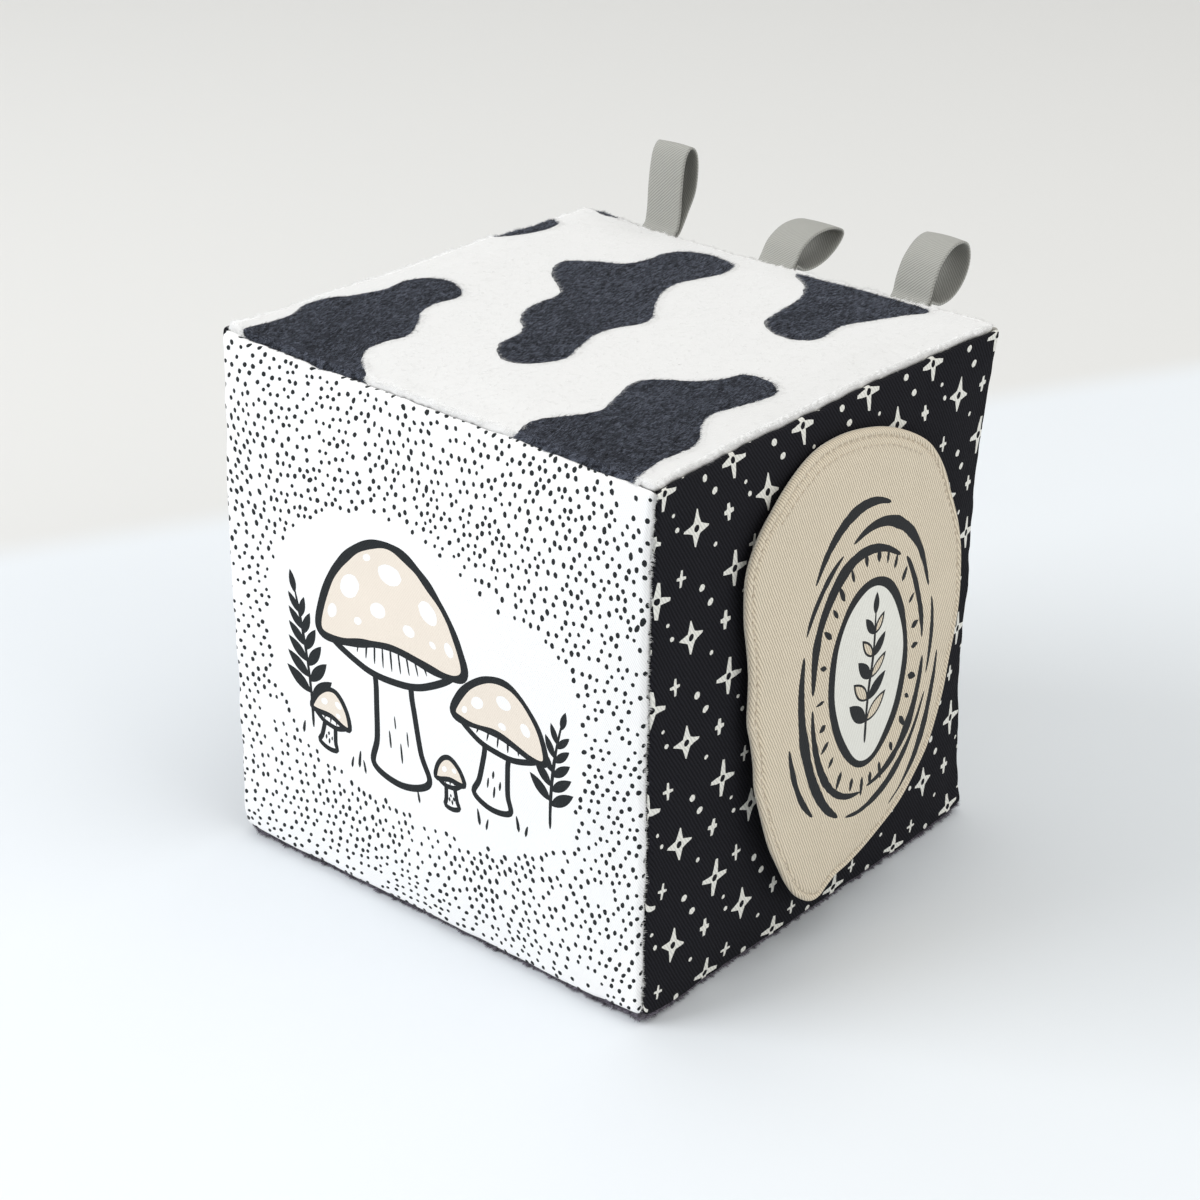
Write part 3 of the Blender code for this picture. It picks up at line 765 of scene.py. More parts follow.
def tape_room(q, top):
    """The doubled tapes part the two cloths of their seam a little."""
    near = sum(step(np.abs(q[:, 0] - x), 8.2 * MM, 5.6 * MM) for x in LOOP_X)
    if top:
        edge = step(q[:, 1], HALF - 9 * MM, HALF - 2 * MM)
        way = np.array([0, -1.05, 0.25])
    else:
        edge = step(q[:, 2], HALF - 9 * MM, HALF - 2 * MM)
        way = np.array([0, 0.25, -1.05])
    return (near * edge)[:, None] * way * MM


def seam_room(q, panel):
    """A cloth that wraps further round its seam pushes its neighbour back."""
    q = q.copy()
    if panel is not BASE and panel is not TOP:
        q[:, 2] += 0.7 * MM * step(-q[:, 2], HALF - 9 * MM, HALF - 2 * MM)
    if panel is not FRONT and panel is not BACK:
        q[:, 1] += 0.5 * MM * step(-q[:, 1], HALF - 9 * MM, HALF - 2 * MM)
    return q


class Panel:
    """One square of cloth. Flat places (x, y) are measured from its middle
    along the cloth, over the fold and into the seam allowance."""

    def __init__(self, u, v, thick, roll, grow=0.0, gap=0.0002):
        self.u, self.v = np.array(u, float), np.array(v, float)
        self.n = np.cross(self.u, self.v)
        self.thick, self.roll = thick, roll
        edge = HALF - gap * SLANT + grow
        self.a0 = edge - roll * (1 + 2 * SLANT)
        self.bend = roll * math.radians(135)
        self.limit = self.a0 + self.bend + ALLOWANCE

    def profile(self, m):
        over = np.clip(m - self.a0, 0, self.bend)
        past = np.clip(m - self.a0 - self.bend, 0, None)
        th = over / self.roll
        a = np.minimum(m, self.a0) + self.roll * np.sin(th) - past * SLANT
        d = self.roll * (1 - np.cos(th)) + past * SLANT
        return a, d

    def cube(self, xy):
        xy = np.asarray(xy, float)
        m = norm_of(xy[:, 0], xy[:, 1])
        a, d = self.profile(m)
        k = (a / m)[:, None]
        q = xy[:, :1] * k * self.u + xy[:, 1:] * k * self.v + (HALF - d)[:, None] * self.n
        q = seam_room(q, self)
        if self is TOP or self is BACK:
            q = q + tape_room(q, self is TOP)
        return q

    def place(self, xy):
        return cover(self.cube(xy))

    def frame_at(self, xy, h=0.00005):
        """Place, and the outward direction there."""
        xy = np.asarray(xy, float)
        p = self.place(xy)
        px, py = self.place(xy + (h, 0)), self.place(xy + (0, h))
        n = np.cross(px - p, py - p)
        n /= np.maximum(np.linalg.norm(n, axis=1, keepdims=True), 1e-15)
        return p, n, (px - p) / h, (py - p) / h

    def grid(self, wide=1.5, fine=0.8):
        wide, fine = wide * MM, fine * MM
        inner = self.a0 - 12 * MM
        k = math.ceil(2 * inner / wide)
        mid = np.linspace(-inner, inner, k + 1)
        k = math.ceil(12 * MM / fine)
        near = np.linspace(inner, self.a0, k + 1)[1:]
        roll = self.a0 + np.linspace(0, self.bend, 9)[1:]
        inside_ = self.a0 + self.bend + np.linspace(0, ALLOWANCE, 4)[1:]
        half = np.concatenate([near, roll, inside_])
        line = np.concatenate([-half[::-1], mid, half])
        x, y = np.meshgrid(line, line)
        return np.column_stack([x.ravel(), y.ravel()])

    def build(self, name, shapes, mats, body="block"):
        shapes = [(m, clip_square(loop, self.limit - 0.00005)) for m, loop in shapes]
        shapes = [s for s in shapes if s[1] is not None]
        xy, tris, marks = cut(self.grid(), shapes)
        p = self.place(xy)
        verts, tris, marks = thicken(p, tris, marks, np.full(len(p), self.thick))
        ob = mesh_of(name, verts, tris, marks, mats, np.concatenate([xy, xy]))
        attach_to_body(ob, body)
        return ob


TOP = Panel((1, 0, 0), (0, 1, 0), 0.0012, 0.00130)
FRONT = Panel((1, 0, 0), (0, 0, 1), 0.0007, 0.00135, 0.0005)
RIGHT = Panel((0, 1, 0), (0, 0, 1), 0.0007, 0.00085)
BACK = Panel((-1, 0, 0), (0, 0, 1), 0.0007, 0.00085)
LEFT = Panel((0, -1, 0), (0, 0, 1), 0.0007, 0.00085)
BASE = Panel((1, 0, 0), (0, -1, 0), 0.0009, 0.00145, 0.0007)


# ---------------------------------------------------------- print: the dots
def dot_print(panel, halo):
    """Hand-set dots in wavering rows, left out round the picture."""
    lim = panel.limit + 2 * MM
    pitch = 2.92 * MM
    n = int(2 * lim / pitch) + 8
    i, j = np.meshgrid(np.arange(-n, n), np.arange(-n, n))
    x = (i + 0.5 * (j % 2)).ravel() * pitch
    y = j.ravel() * pitch * 0.9
    xy = np.column_stack([x, y])
    xy = xy + 5.0 * MM * np.column_stack([flat_noise(xy, 23 * MM, 2), flat_noise(xy, 23 * MM, 5)])
    cell = np.column_stack([i.ravel(), j.ravel(), np.zeros(i.size)])
    xy = xy + 0.24 * pitch * np.column_stack([scatter(cell, 3), scatter(cell, 4)])
    ok = (np.abs(xy) < lim).all(axis=1) & (scatter(cell, 9) < 0.93)
    ok &= flat_noise(xy, 6.5 * MM, 8) > -0.66
    ok &= ~inside(xy, halo)
    xy, cell = xy[ok], cell[ok]
    size = 0.62 * MM * (1 + 0.15 * scatter(cell, 6) + 0.12 * flat_noise(xy, 17 * MM, 26))
    way = 62 + 70 * flat_noise(xy, 38 * MM, 7) + 14 * scatter(cell, 12)
    long_ = 1.20 + 0.14 * scatter(cell, 13)
    long_ = np.where(scatter(cell, 14) > 0.975, 1.7, long_)
    taken, loops = {}, []
    for k in np.argsort(-size):
        c = (math.floor(xy[k, 0] / (2 * MM)), math.floor(xy[k, 1] / (2 * MM)))
        near = [q for a in (-1, 0, 1) for b in (-1, 0, 1) for q in taken.get((c[0] + a, c[1] + b), [])]
        if any(math.dist(xy[k], q) < 1.95 * MM for q in near):
            continue
        taken.setdefault(c, []).append(tuple(xy[k]))
        loops.append((1, oval(xy[k, 0], xy[k, 1], size[k] * long_[k], size[k] * 0.97, way[k], 10, 0.09, int(k))))
    return loops


# ------------------------------------------------- print: toadstools and ferns
def leaf(x, y, length, width, turn):
    """An almond-shaped leaf that starts at a point and grows along an angle."""
    t = np.linspace(0, 1, 9)
    w = np.sin(np.pi * t) ** 0.8 * (1 - 0.25 * t) * width / 2
    side = np.concatenate([np.column_stack([t * length, w]), np.column_stack([t * length, -w])[::-1][1:-1]])
    return moved(side, x, y, 1.0, turn)


def fern(x, y, height, bend, pairs, size, seed=1):
    """A stem with leaves in pairs. Returns outlines in painting order."""
    t = np.linspace(0, 1, 9)
    stem = np.column_stack([x + bend * t**2, y + height * t])
    out = [stroke(stem, 1.0 * MM, (0.05, 0.3), 0.5, seed)]
    for i in range(pairs):
        s = 0.24 + 0.70 * i / pairs
        px, py = x + bend * s**2, y + height * s
        lean = math.degrees(math.atan2(height, 2 * bend * s))
        k = size * (1 - 0.45 * i / pairs)
        for side in (1, -1):
            out.append(leaf(px, py + side * 0.6 * MM, k, k * 0.40, lean + side * (52 - 5 * i)))
    out.append(leaf(x + bend, y + height - 1.0 * MM, size * 0.62, size * 0.26, math.degrees(math.atan2(height, 2 * bend))))
    return out


def toadstool(x, y, cap_w, cap_h, stem_w, stem_h, lean, spots, seed):
    """Painting order: (material, outline). 1 black, 2 tan, 0 white."""
    out = []
    s = stem_w / 2
    stem = [
        (-s * 0.80, 0), (-s * 0.95, -stem_h * 0.35), (-s * 1.15, -stem_h * 0.75), (-s * 1.45, -stem_h),
        (0, -stem_h * 1.10), (s * 1.45, -stem_h), (s * 1.15, -stem_h * 0.75), (s * 0.95, -stem_h * 0.35), (s * 0.80, 0),
    ]
    line = 1.35 * MM + 0.014 * cap_w
    foot = blob(stem, 0.0, seed)
    big = foot + line * 0.5 * outward(foot)
    out.append((1, big))
    out.append((0, foot - line * 0.5 * outward(foot)))
    for k, (fx, fy, fl) in enumerate(((-0.45, -0.80, 0.14), (0.1, -0.90, 0.16), (0.5, -0.74, 0.12), (-0.1, -0.62, 0.10))):
        out.append((1, stroke([(fx * s, fy * stem_h), (fx * s, (fy + fl) * stem_h)], 0.75 * MM, (0.3, 0.3), 0.5, seed + k)))
    gills = blob(
        [(-cap_w * 0.42, 0.5 * MM), (-cap_w * 0.22, -cap_h * 0.20), (0, -cap_h * 0.25), (cap_w * 0.22, -cap_h * 0.20), (cap_w * 0.42, 0.5 * MM), (0, cap_h * 0.10)],
        0.0,
        seed,
    )
    out.append((1, gills + line * 0.5 * outward(gills)))
    out.append((0, gills - line * 0.5 * outward(gills)))
    ticks = max(5, int(cap_w / (4.2 * MM)))
    for k in range(ticks):
        gx = (k - (ticks - 1) / 2) / ticks * cap_w * 0.80
        gy = -cap_h * 0.20 * (1 - (gx / (cap_w * 0.42)) ** 2)
        out.append((1, stroke([(gx * 0.90, cap_h * 0.06), (gx, gy + cap_h * 0.05)], 0.70 * MM, (0.2, 0.4), 0.4, seed + k)))
    cap = blob(
        [
            (-cap_w * 0.50, cap_h * 0.02), (-cap_w * 0.47, cap_h * 0.28), (-cap_w * 0.36, cap_h * 0.62),
            (-cap_w * 0.18, cap_h * 0.90), (0.02 * cap_w, cap_h), (cap_w * 0.20, cap_h * 0.88),
            (cap_w * 0.38, cap_h * 0.58), (cap_w * 0.48, cap_h * 0.26), (cap_w * 0.50, cap_h * 0.02),
            (cap_w * 0.36, cap_h * -0.03), (0, cap_h * 0.07), (-cap_w * 0.36, cap_h * -0.03),
        ],
        0.0,
        seed,
    )
    w = (line * (0.55 + 0.16 * flat_noise(cap, 7 * MM, seed)))[:, None]
    out.append((1, cap + w * outward(cap)))
    out.append((2, cap - w * outward(cap)))
    for k, (sx, sy, sa, sb, turn) in enumerate(spots):
        out.append((0, oval(sx * cap_w, sy * cap_h, sa * MM, sb * MM, turn, 16, 0.04, seed + k)))
    return [(m, moved(loop, x, y, 1.0, lean)) for m, loop in out]


def outward(loop):
    """Unit directions out of a closed outline at its points."""
    d = np.roll(loop, -1, axis=0) - np.roll(loop, 1, axis=0)
    d /= np.maximum(np.linalg.norm(d, axis=1, keepdims=True), 1e-9)
    n = np.column_stack([d[:, 1], -d[:, 0]])
    nxt = np.roll(loop, -1, axis=0)
    area = (loop[:, 0] * nxt[:, 1] - nxt[:, 0] * loop[:, 1]).sum()
    return n if area > 0 else -n


mm = lambda pts: [(a * MM, b * MM) for a, b in pts]
HALO = blob(
    mm([(-60, 2), (-58, 17), (-47, 30), (-31, 38), (-12, 41), (8, 36), (24, 29), (40, 26), (52, 17), (56, 3), (55, -14), (50, -29), (38, -38), (18, -42), (-6, -43), (-28, -41), (-46, -36), (-56, -24), (-60, -10)]),
    0.0,
    3,
)


def front_print():
    shapes = dot_print(FRONT, HALO)
    art = []
    for loop in fern(-45 * MM, -30 * MM, 40 * MM, -5 * MM, 6, 11.0 * MM, 3):
        art.append((1, loop))
    for loop in fern(45 * MM, -28 * MM, 31 * MM, 4 * MM, 5, 9.5 * MM, 5):
        art.append((1, loop))
    art += toadstool(
        27 * MM, -8 * MM, 33 * MM, 17 * MM, 9 * MM, 20 * MM, -7,
        [(-0.25, 0.42, 2.3, 1.7, 30), (0.02, 0.66, 2.6, 1.9, -5), (0.27, 0.40, 2.0, 1.5, -40), (0.03, 0.25, 1.4, 1.0, 0), (-0.38, 0.18, 1.2, 0.9, 60)], 31,
    )
    art += toadstool(
        -13 * MM, 3 * MM, 56 * MM, 31 * MM, 15 * MM, 35 * MM, 5,
        [
            (-0.26, 0.52, 4.2, 3.0, 38), (0.03, 0.74, 4.4, 2.9, -4), (0.28, 0.50, 3.8, 2.7, -38), (-0.07, 0.38, 3.0, 2.2, 10),
            (0.14, 0.28, 2.3, 1.6, -10), (-0.40, 0.24, 2.4, 1.6, 58), (0.41, 0.22, 2.2, 1.5, -56), (-0.22, 0.22, 1.6, 1.1, 20), (0.30, 0.22, 1.3, 0.9, -30), (-0.12, 0.84, 1.5, 1.0, 22),
        ], 11,
    )
    art += toadstool(
        -38 * MM, -25 * MM, 15 * MM, 9 * MM, 4.6 * MM, 9 * MM, -9,
        [(-0.20, 0.45, 1.3, 1.0, 30), (0.16, 0.60, 1.4, 1.0, -10), (0.18, 0.24, 0.9, 0.7, 0)], 51,
    )
    art += toadstool(
        9 * MM, -27 * MM, 11 * MM, 7 * MM, 3.6 * MM, 7.5 * MM, 6,
        [(-0.16, 0.45, 1.0, 0.8, 30), (0.18, 0.50, 0.9, 0.7, -10)], 61,
    )
    for k, (gx, gy, g) in enumerate(((-27, -36, 5), (-24.5, -37, 3.6), (-30, -37, 3.2), (20, -36, 4.4), (22.4, -36.6, 3.2), (34, -33, 4.2), (36.4, -33.6, 3.0), (-3, -38, 3.4), (-49, -33, 3.6))):
        bend = (-1) ** k * 0.7
        art.append((1, stroke(mm([(gx, gy), (gx + bend * 0.4, gy + g * 0.5), (gx + bend, gy + g)]), 1.0 * MM, (0.1, 0.5), 0.4, 70 + k)))
    return shapes + art


# ---------------------------------------------------------- print: the stars
def star(x, y, size, turn, seed, slim):
    """A hand-cut four-pointed star with a dark middle: a slim one with blunt
    arms, or one that tapers to its points from a broad body."""
    pts = []
    for k in range(4):
        a = math.radians(90 * k)
        j = scatter(np.array([[seed, k, 0], [seed, k, 1], [seed, k, 2]]), 7)
        long_ = (5.0 if k % 2 else 4.8) * (1 + 0.07 * j[0]) if slim else (4.7 if k % 2 else 4.4) * (1 + 0.07 * j[0])
        wide = (0.52 if slim else 0.24) + 0.06 * j[1]
        body, mid = (1.50, 0.86) if slim else (1.95, 0.84)
        d, s = np.array([math.cos(a), math.sin(a)]), np.array([-math.sin(a), math.cos(a)])
        lean = s * 0.35 * j[2]
        c = math.radians(90 * k - 45)
        pts += [
            np.array([math.cos(c), math.sin(c)]) * body,
            d * 2.7 - s * mid + lean * 0.5,
            d * long_ - s * wide + lean,
            d * (long_ + 0.14) + s * wide * 0.8 + lean,
            d * 2.7 + s * mid + lean * 0.5,
        ]
    loop = np.array(pts) * MM
    loop = np.concatenate([np.linspace(loop[i - 1], loop[i], 5)[1:] for i in range(len(loop))])
    loop = loop + 0.05 * MM * np.column_stack([flat_noise(loop + seed, 0.0011, 5), flat_noise(loop + seed, 0.0011, 6)])
    ring = oval(0, 0, 1.02 * MM, 0.92 * MM, 52, 14, 0.05, seed)
    return [(1, moved(loop, x, y, size, turn)), (0, moved(ring, x, y, size, turn))]


def plus(x, y, size, turn, seed, slim):
    pts = []
    for k in range(4):
        a = math.radians(90 * k)
        j = scatter(np.array([[seed, k, 4]]), 7)[0]
        long_ = (1.85 if k % 2 == 0 else 2.35) * (1 + 0.10 * j)
        wide = 0.36 if slim else 0.52
        d, s = np.array([math.cos(a), math.sin(a)]), np.array([-math.sin(a), math.cos(a)])
        c = math.radians(90 * k - 45)
        pts += [np.array([math.cos(c), math.sin(c)]) * (0.74 if slim else 0.98), d * long_ - s * wide, d * long_ + s * wide * 0.9]
    loop = np.array(pts) * MM
    loop = np.concatenate([np.linspace(loop[i - 1], loop[i], 4)[1:] for i in range(len(loop))])
    loop = loop + 0.05 * MM * np.column_stack([flat_noise(loop + seed, 0.0011, 5), flat_noise(loop + seed, 0.0011, 6)])
    return [(1, moved(loop, x, y, size, turn))]


# in millimetres from each slim star: the other star, two plus signs, five dots
REPEAT = (29.2, 29.2)
OTHER_STAR = (12.6, -13.2)
PLUSES = ((8.2, 4.0, True), (25.9, -13.2, False))
DOTS = (
    (16.8, -1.0, 1.06, 1.00, 0), (20.1, -6.0, 1.18, 0.92, 14), (21.6, 8.8, 0.74, 0.62, 20),
    (3.9, -7.5, 0.66, 0.54, 10), (5.4, -11.6, 0.78, 0.70, -14),
)  # fmt: skip


def star_print(panel):
    out = []
    lim = panel.limit + 6 * MM

    def near(x, y):
        return abs(x * MM) < lim and abs(y * MM) < lim

    for i in range(-2, 8):
        for j in range(-5, 6):
            x = -75.0 + i * REPEAT[0] + j * 1.2
            y = 15.2 + j * REPEAT[1]
            r = scatter(np.array([[i, j, k] for k in range(12)]), 15)
            seed = (i + 20) * 50 + j + 20
            if near(x, y):
                out += star((x + 0.4 * r[0]) * MM, (y + 0.4 * r[1]) * MM, 1 + 0.03 * r[2], -3 + 4 * r[3], seed, True)
            ox, oy = x + OTHER_STAR[0], y + OTHER_STAR[1]
            if near(ox, oy):
                out += star((ox + 0.4 * r[4]) * MM, (oy + 0.4 * r[5]) * MM, 1 + 0.03 * r[6], -4 + 5 * r[7], seed + 7, False)
            for k, (dx, dy, slim) in enumerate(PLUSES):
                if near(x + dx, y + dy):
                    out += plus((x + dx + 0.4 * r[8 + k]) * MM, (y + dy) * MM, 1 + 0.04 * r[k], -3 + 5 * r[2 + k], seed + k, slim)
            for k, (dx, dy, a, b, turn) in enumerate(DOTS):
                qx, qy = x + dx + 0.3 * r[k], y + dy + 0.3 * r[k + 5]
                if near(qx, qy):
                    out.append((1, oval(qx * MM, qy * MM, a * MM, b * MM, turn + 12 * r[k + 3], 12, 0.08, seed + k)))
    return out


def sprinkle(panel, pitch, size, seed):
    """A plain half-drop print of small ovals, for the sides out of sight."""
    out = []
    n = int(panel.limit / (pitch * MM)) + 2
    for i in range(-n, n + 1):
        for j in range(-n, n + 1):
            x, y = i * pitch, (j + 0.5 * (i % 2)) * pitch
            if max(abs(x), abs(y)) * MM > panel.limit + 2 * MM:
                continue
            r = scatter(np.array([[i, j, 0], [i, j, 1], [i, j, 2]]), seed)
            out.append((1, oval((x + 0.4 * r[0]) * MM, (y + 0.4 * r[1]) * MM, size * 1.25 * MM, size * 0.8 * MM, 70 + 25 * r[2], 12, 0.07, abs(i * 31 + j) + seed)))
    return out


# ---------------------------------------------------------- the top's patches
PATCHES = [
    [(-69, -84), (-70.6, -73.5), (-70.8, -68), (-69.6, -61), (-69.8, -54.5), (-72.2, -49.5), (-72.8, -44), (-71.4, -38), (-68.0, -32.6), (-65, -24), (-66, -14.5), (-62.4, -8), (-56.5, -6), (-50, -9), (-47, -14), (-48, -21), (-46.6, -28.5), (-40.2, -37.2), (-37, -44.5), (-38.3, -50.7), (-38.6, -58), (-35, -64.4), (-26.6, -73), (-23, -84)],
    [(-42, 20.9), (-46, 30.1), (-39.6, 37), (-32.3, 41.4), (-29.4, 48.8), (-29.6, 56.9), (-27.5, 63.6), (-21.5, 68), (-12.8, 66.3), (-7.6, 62.9), (-5.7, 55.3), (-7.9, 46.4), (-9.8, 37.9), (-8, 29.5), (-3, 19.8), (2.4, 12), (2.9, 6.2), (0, -0.6), (-0.8, -8.5), (1.3, -16.7), (4.1, -24), (4, -30), (-1.2, -37.6), (-6.8, -39), (-12.6, -35.3), (-15.5, -30), (-16, -24.3), (-18, -19), (-23.6, -13.8), (-27.6, -7), (-28.8, 0.7), (-28.4, 5.4), (-30.5, 11), (-36.4, 15.8)],
    [(27, -84), (25.9, -71.5), (24.9, -64.5), (27.7, -59.3), (32.6, -52.3), (34.2, -46.4), (31.9, -38.5), (29.4, -30.7), (29.4, -25), (33.4, -20.5), (37.7, -17.5), (41.6, -14), (44.8, -9.2), (46.9, -3.5), (52.7, -2), (57.5, -3.3), (60.8, -6.8), (60.7, -14.3), (59, -23.2), (57.6, -30.6), (60, -37.2), (65.1, -44.5), (66.1, -49.6), (65.5, -56), (65.5, -63.4), (66.5, -69.8), (68.3, -76), (68, -84)],
    [(9.9, 70), (18.3, 62.4), (23.4, 52.7), (25.3, 40.4), (27.9, 31), (34.1, 26.4), (41.5, 26), (46.3, 31.3), (45, 43.3), (48.5, 53), (51.8, 61.5), (55, 69), (51.5, 72.6), (34, 72.9), (12, 72.7)],
    [(-86, 29), (-76, 31), (-71.4, 38.5), (-68.8, 46), (-68.8, 52), (-71.8, 57), (-86, 60)],
    [(-74, 88), (-72.8, 77.2), (-68.8, 73.8), (-62.4, 74), (-57.4, 77.5), (-55, 88)],
]


def patch_outlines(rough=0.32):
    out = []
    for i, p in enumerate(PATCHES):
        q = np.array(p, float) * MM
        n = np.clip(q / HALF, -1, 1) ** 2
        high = 0.9 * MM + TOP_CROWN * (1 - n[:, 0]) * (1 - n[:, 1])
        out.append(blob(q + 2.01 * high[:, None] * np.array([0.643, -0.766]), rough * MM, 5 + i, 0.0006))
    return out


# -------------------------------------------------------------------- fibres
def fibres(name, root, normal, nap, length, width, shade, mats, marks, seed, lean=(48, 14), sway=26):
    """Thin closed spikes, one for each tuft of pile. nap is the way each lies."""
    rng = np.random.default_rng(seed)
    k = len(root)
    nap = nap - (nap * normal).sum(1)[:, None] * normal
    nap /= np.maximum(np.linalg.norm(nap, axis=1, keepdims=True), 1e-9)
    other = np.cross(normal, nap)
    turn = np.radians(rng.normal(0, sway, k))[:, None]
    flat = nap * np.cos(turn) + other * np.sin(turn)
    tilt = np.radians(np.clip(lean[0] + lean[1] * rng.standard_normal(k), 5, 84))[:, None]
    way = normal * np.cos(tilt) + flat * np.sin(tilt)
    across = np.cross(way, normal)
    across /= np.maximum(np.linalg.norm(across, axis=1, keepdims=True), 1e-9)
    up = np.cross(across, way)
    w = (np.asarray(width) * np.ones(k))[:, None]
    root = root - normal * 0.00015
    a, b, c = root + across * w, root - across * w, root + up * w * 1.2
    bend = up * (rng.uniform(-0.16, 0.16, k) * length)[:, None]
    tip = root + way * length[:, None] + bend
    verts = np.stack([a, b, c, tip], axis=1).reshape(-1, 3)
    base = (np.arange(k) * 4)[:, None]
    tris = np.concatenate(
        [base + (0, 1, 2), base + (0, 3, 1), base + (1, 3, 2), base + (2, 3, 0)], axis=1
    ).reshape(-1, 3)
    # face out whichever way the frame came out
    q = verts[tris]
    centre = verts.reshape(-1, 4, 3).mean(1).repeat(4, axis=0)
    out = (np.cross(q[:, 1] - q[:, 0], q[:, 2] - q[:, 0]) * (q.mean(1) - centre)).sum(1) < 0
    tris[out] = tris[out][:, ::-1]
    tone = np.repeat(shade, 4).reshape(-1, 4) * (0.55, 0.55, 0.6, 1.0)
    return mesh_of(name, verts, tris, np.repeat(marks, 4), mats, None, False, {"shade": tone.ravel()})


def pile_on(panel, name, xy, mats, dark_loops, lean, length, width, seed, nap_dir, floor=None, light_share=1.0, edge_share=1.0):
    """Pile rooted at flat places xy. lean, length and width are pairs, for the
    light and for the dark parts, and light_share is how much of the light pile
    stands up out of the smooth nap where no dark pile is near. edge_share is
    the same for the folded edge."""
    rng = np.random.default_rng(seed)
    if light_share < 1:
        border = norm_of(xy[:, 0], xy[:, 1]) > panel.a0 - 0.6 * MM
        keep = rng.random(len(xy)) < np.where(border, edge_share, light_share)
        for loop in dark_loops:
            keep |= inside(xy, loop + 1.2 * MM * outward(loop))
        xy = xy[keep]
    count = len(xy)
    p, n, du, dv = panel.frame_at(xy)
    marks = np.zeros(count, np.int32)
    if dark_loops:
        for loop in dark_loops:
            marks[inside(xy, loop)] = 1
    dark = marks == 1
    pick = lambda pair: np.where(dark, pair[1], pair[0])
    nap = np.tile(np.array(nap_dir, float), (count, 1))
    swirl = np.column_stack([noise(p, 0.012, 3), noise(p, 0.012, 4), np.zeros(count)])
    tuft = np.column_stack([noise(p, 0.0032, 5), noise(p, 0.0032, 6), np.zeros(count)])
    # at the folded edge the pile reaches out over the seam to the next panel
    m = norm_of(xy[:, 0], xy[:, 1])
    edge = step(m, panel.a0 - 1.5 * MM, panel.a0 + 0.8 * MM)[:, None]
    big = np.abs(xy) >= np.abs(xy).max(axis=1, keepdims=True) - 1e-9
    outwards = (du * (np.sign(xy[:, :1]) * big[:, :1])) + (dv * (np.sign(xy[:, 1:]) * big[:, 1:]))
    nap = (nap + 0.35 * swirl + 0.28 * tuft) * (1 - edge) + (outwards + 0.8 * tuft) * edge
    clump = np.clip(0.5 + 1.3 * noise(p, 0.0014, 9), 0, 1) ** 1.5
    size = pick(length) * (0.72 + 0.56 * rng.random(count)) * (1 + (0.75 * clump - 0.35) * edge[:, 0])
    round_ = np.degrees(np.clip(m - panel.a0, 0, panel.bend) / panel.roll)
    over = 36 if floor is not None else np.clip(103 - round_, 10, 76)
    lean_to = (pick(lean) * (1 - edge[:, 0]) + over * edge[:, 0], 9 + 5 * edge[:, 0])
    shade = np.clip(0.36 + 0.50 * noise(p, 0.0008, 8) + 0.12 * noise(p, 0.006, 10) + rng.normal(0, 0.40, count), 0, 1)
    wide = pick(width) * (0.7 + 0.6 * rng.random(count)) * (1 + np.where(dark, 0.0, 0.9) * edge[:, 0])
    ob = fibres(name, p, n, nap, size, wide, shade, mats, marks, seed + 1, lean_to, 15)
    if floor is not None:
        co = np.zeros(len(ob.data.vertices) * 3, np.float32)
        ob.data.vertices.foreach_get("co", co)
        co = co.reshape(-1, 3)
        co[:, 2] = np.maximum(co[:, 2], floor)
        ob.data.vertices.foreach_set("co", co.ravel())
        ob.data.update()
    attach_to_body(ob, "block")
    return ob


def rooted(panel, count, reach, seed, border=0):
    """Random flat places over a panel, and more of them along its fold."""
    rng = np.random.default_rng(seed)
    lim = panel.a0 + panel.roll * math.radians(reach)
    xy = rng.uniform(-lim, lim, (count, 2))
    if border:
        m = rng.uniform(panel.a0 - 0.2 * MM, lim, border)
        along = rng.uniform(-1, 1, border) * m
        side = rng.integers(0, 4, border)
        x = np.select([side == 0, side == 1, side == 2], [m, -m, along], along)
        y = np.select([side == 0, side == 1, side == 2], [along, along, m], -m)
        xy = np.concatenate([xy, np.column_stack([x, y])])
    return xy


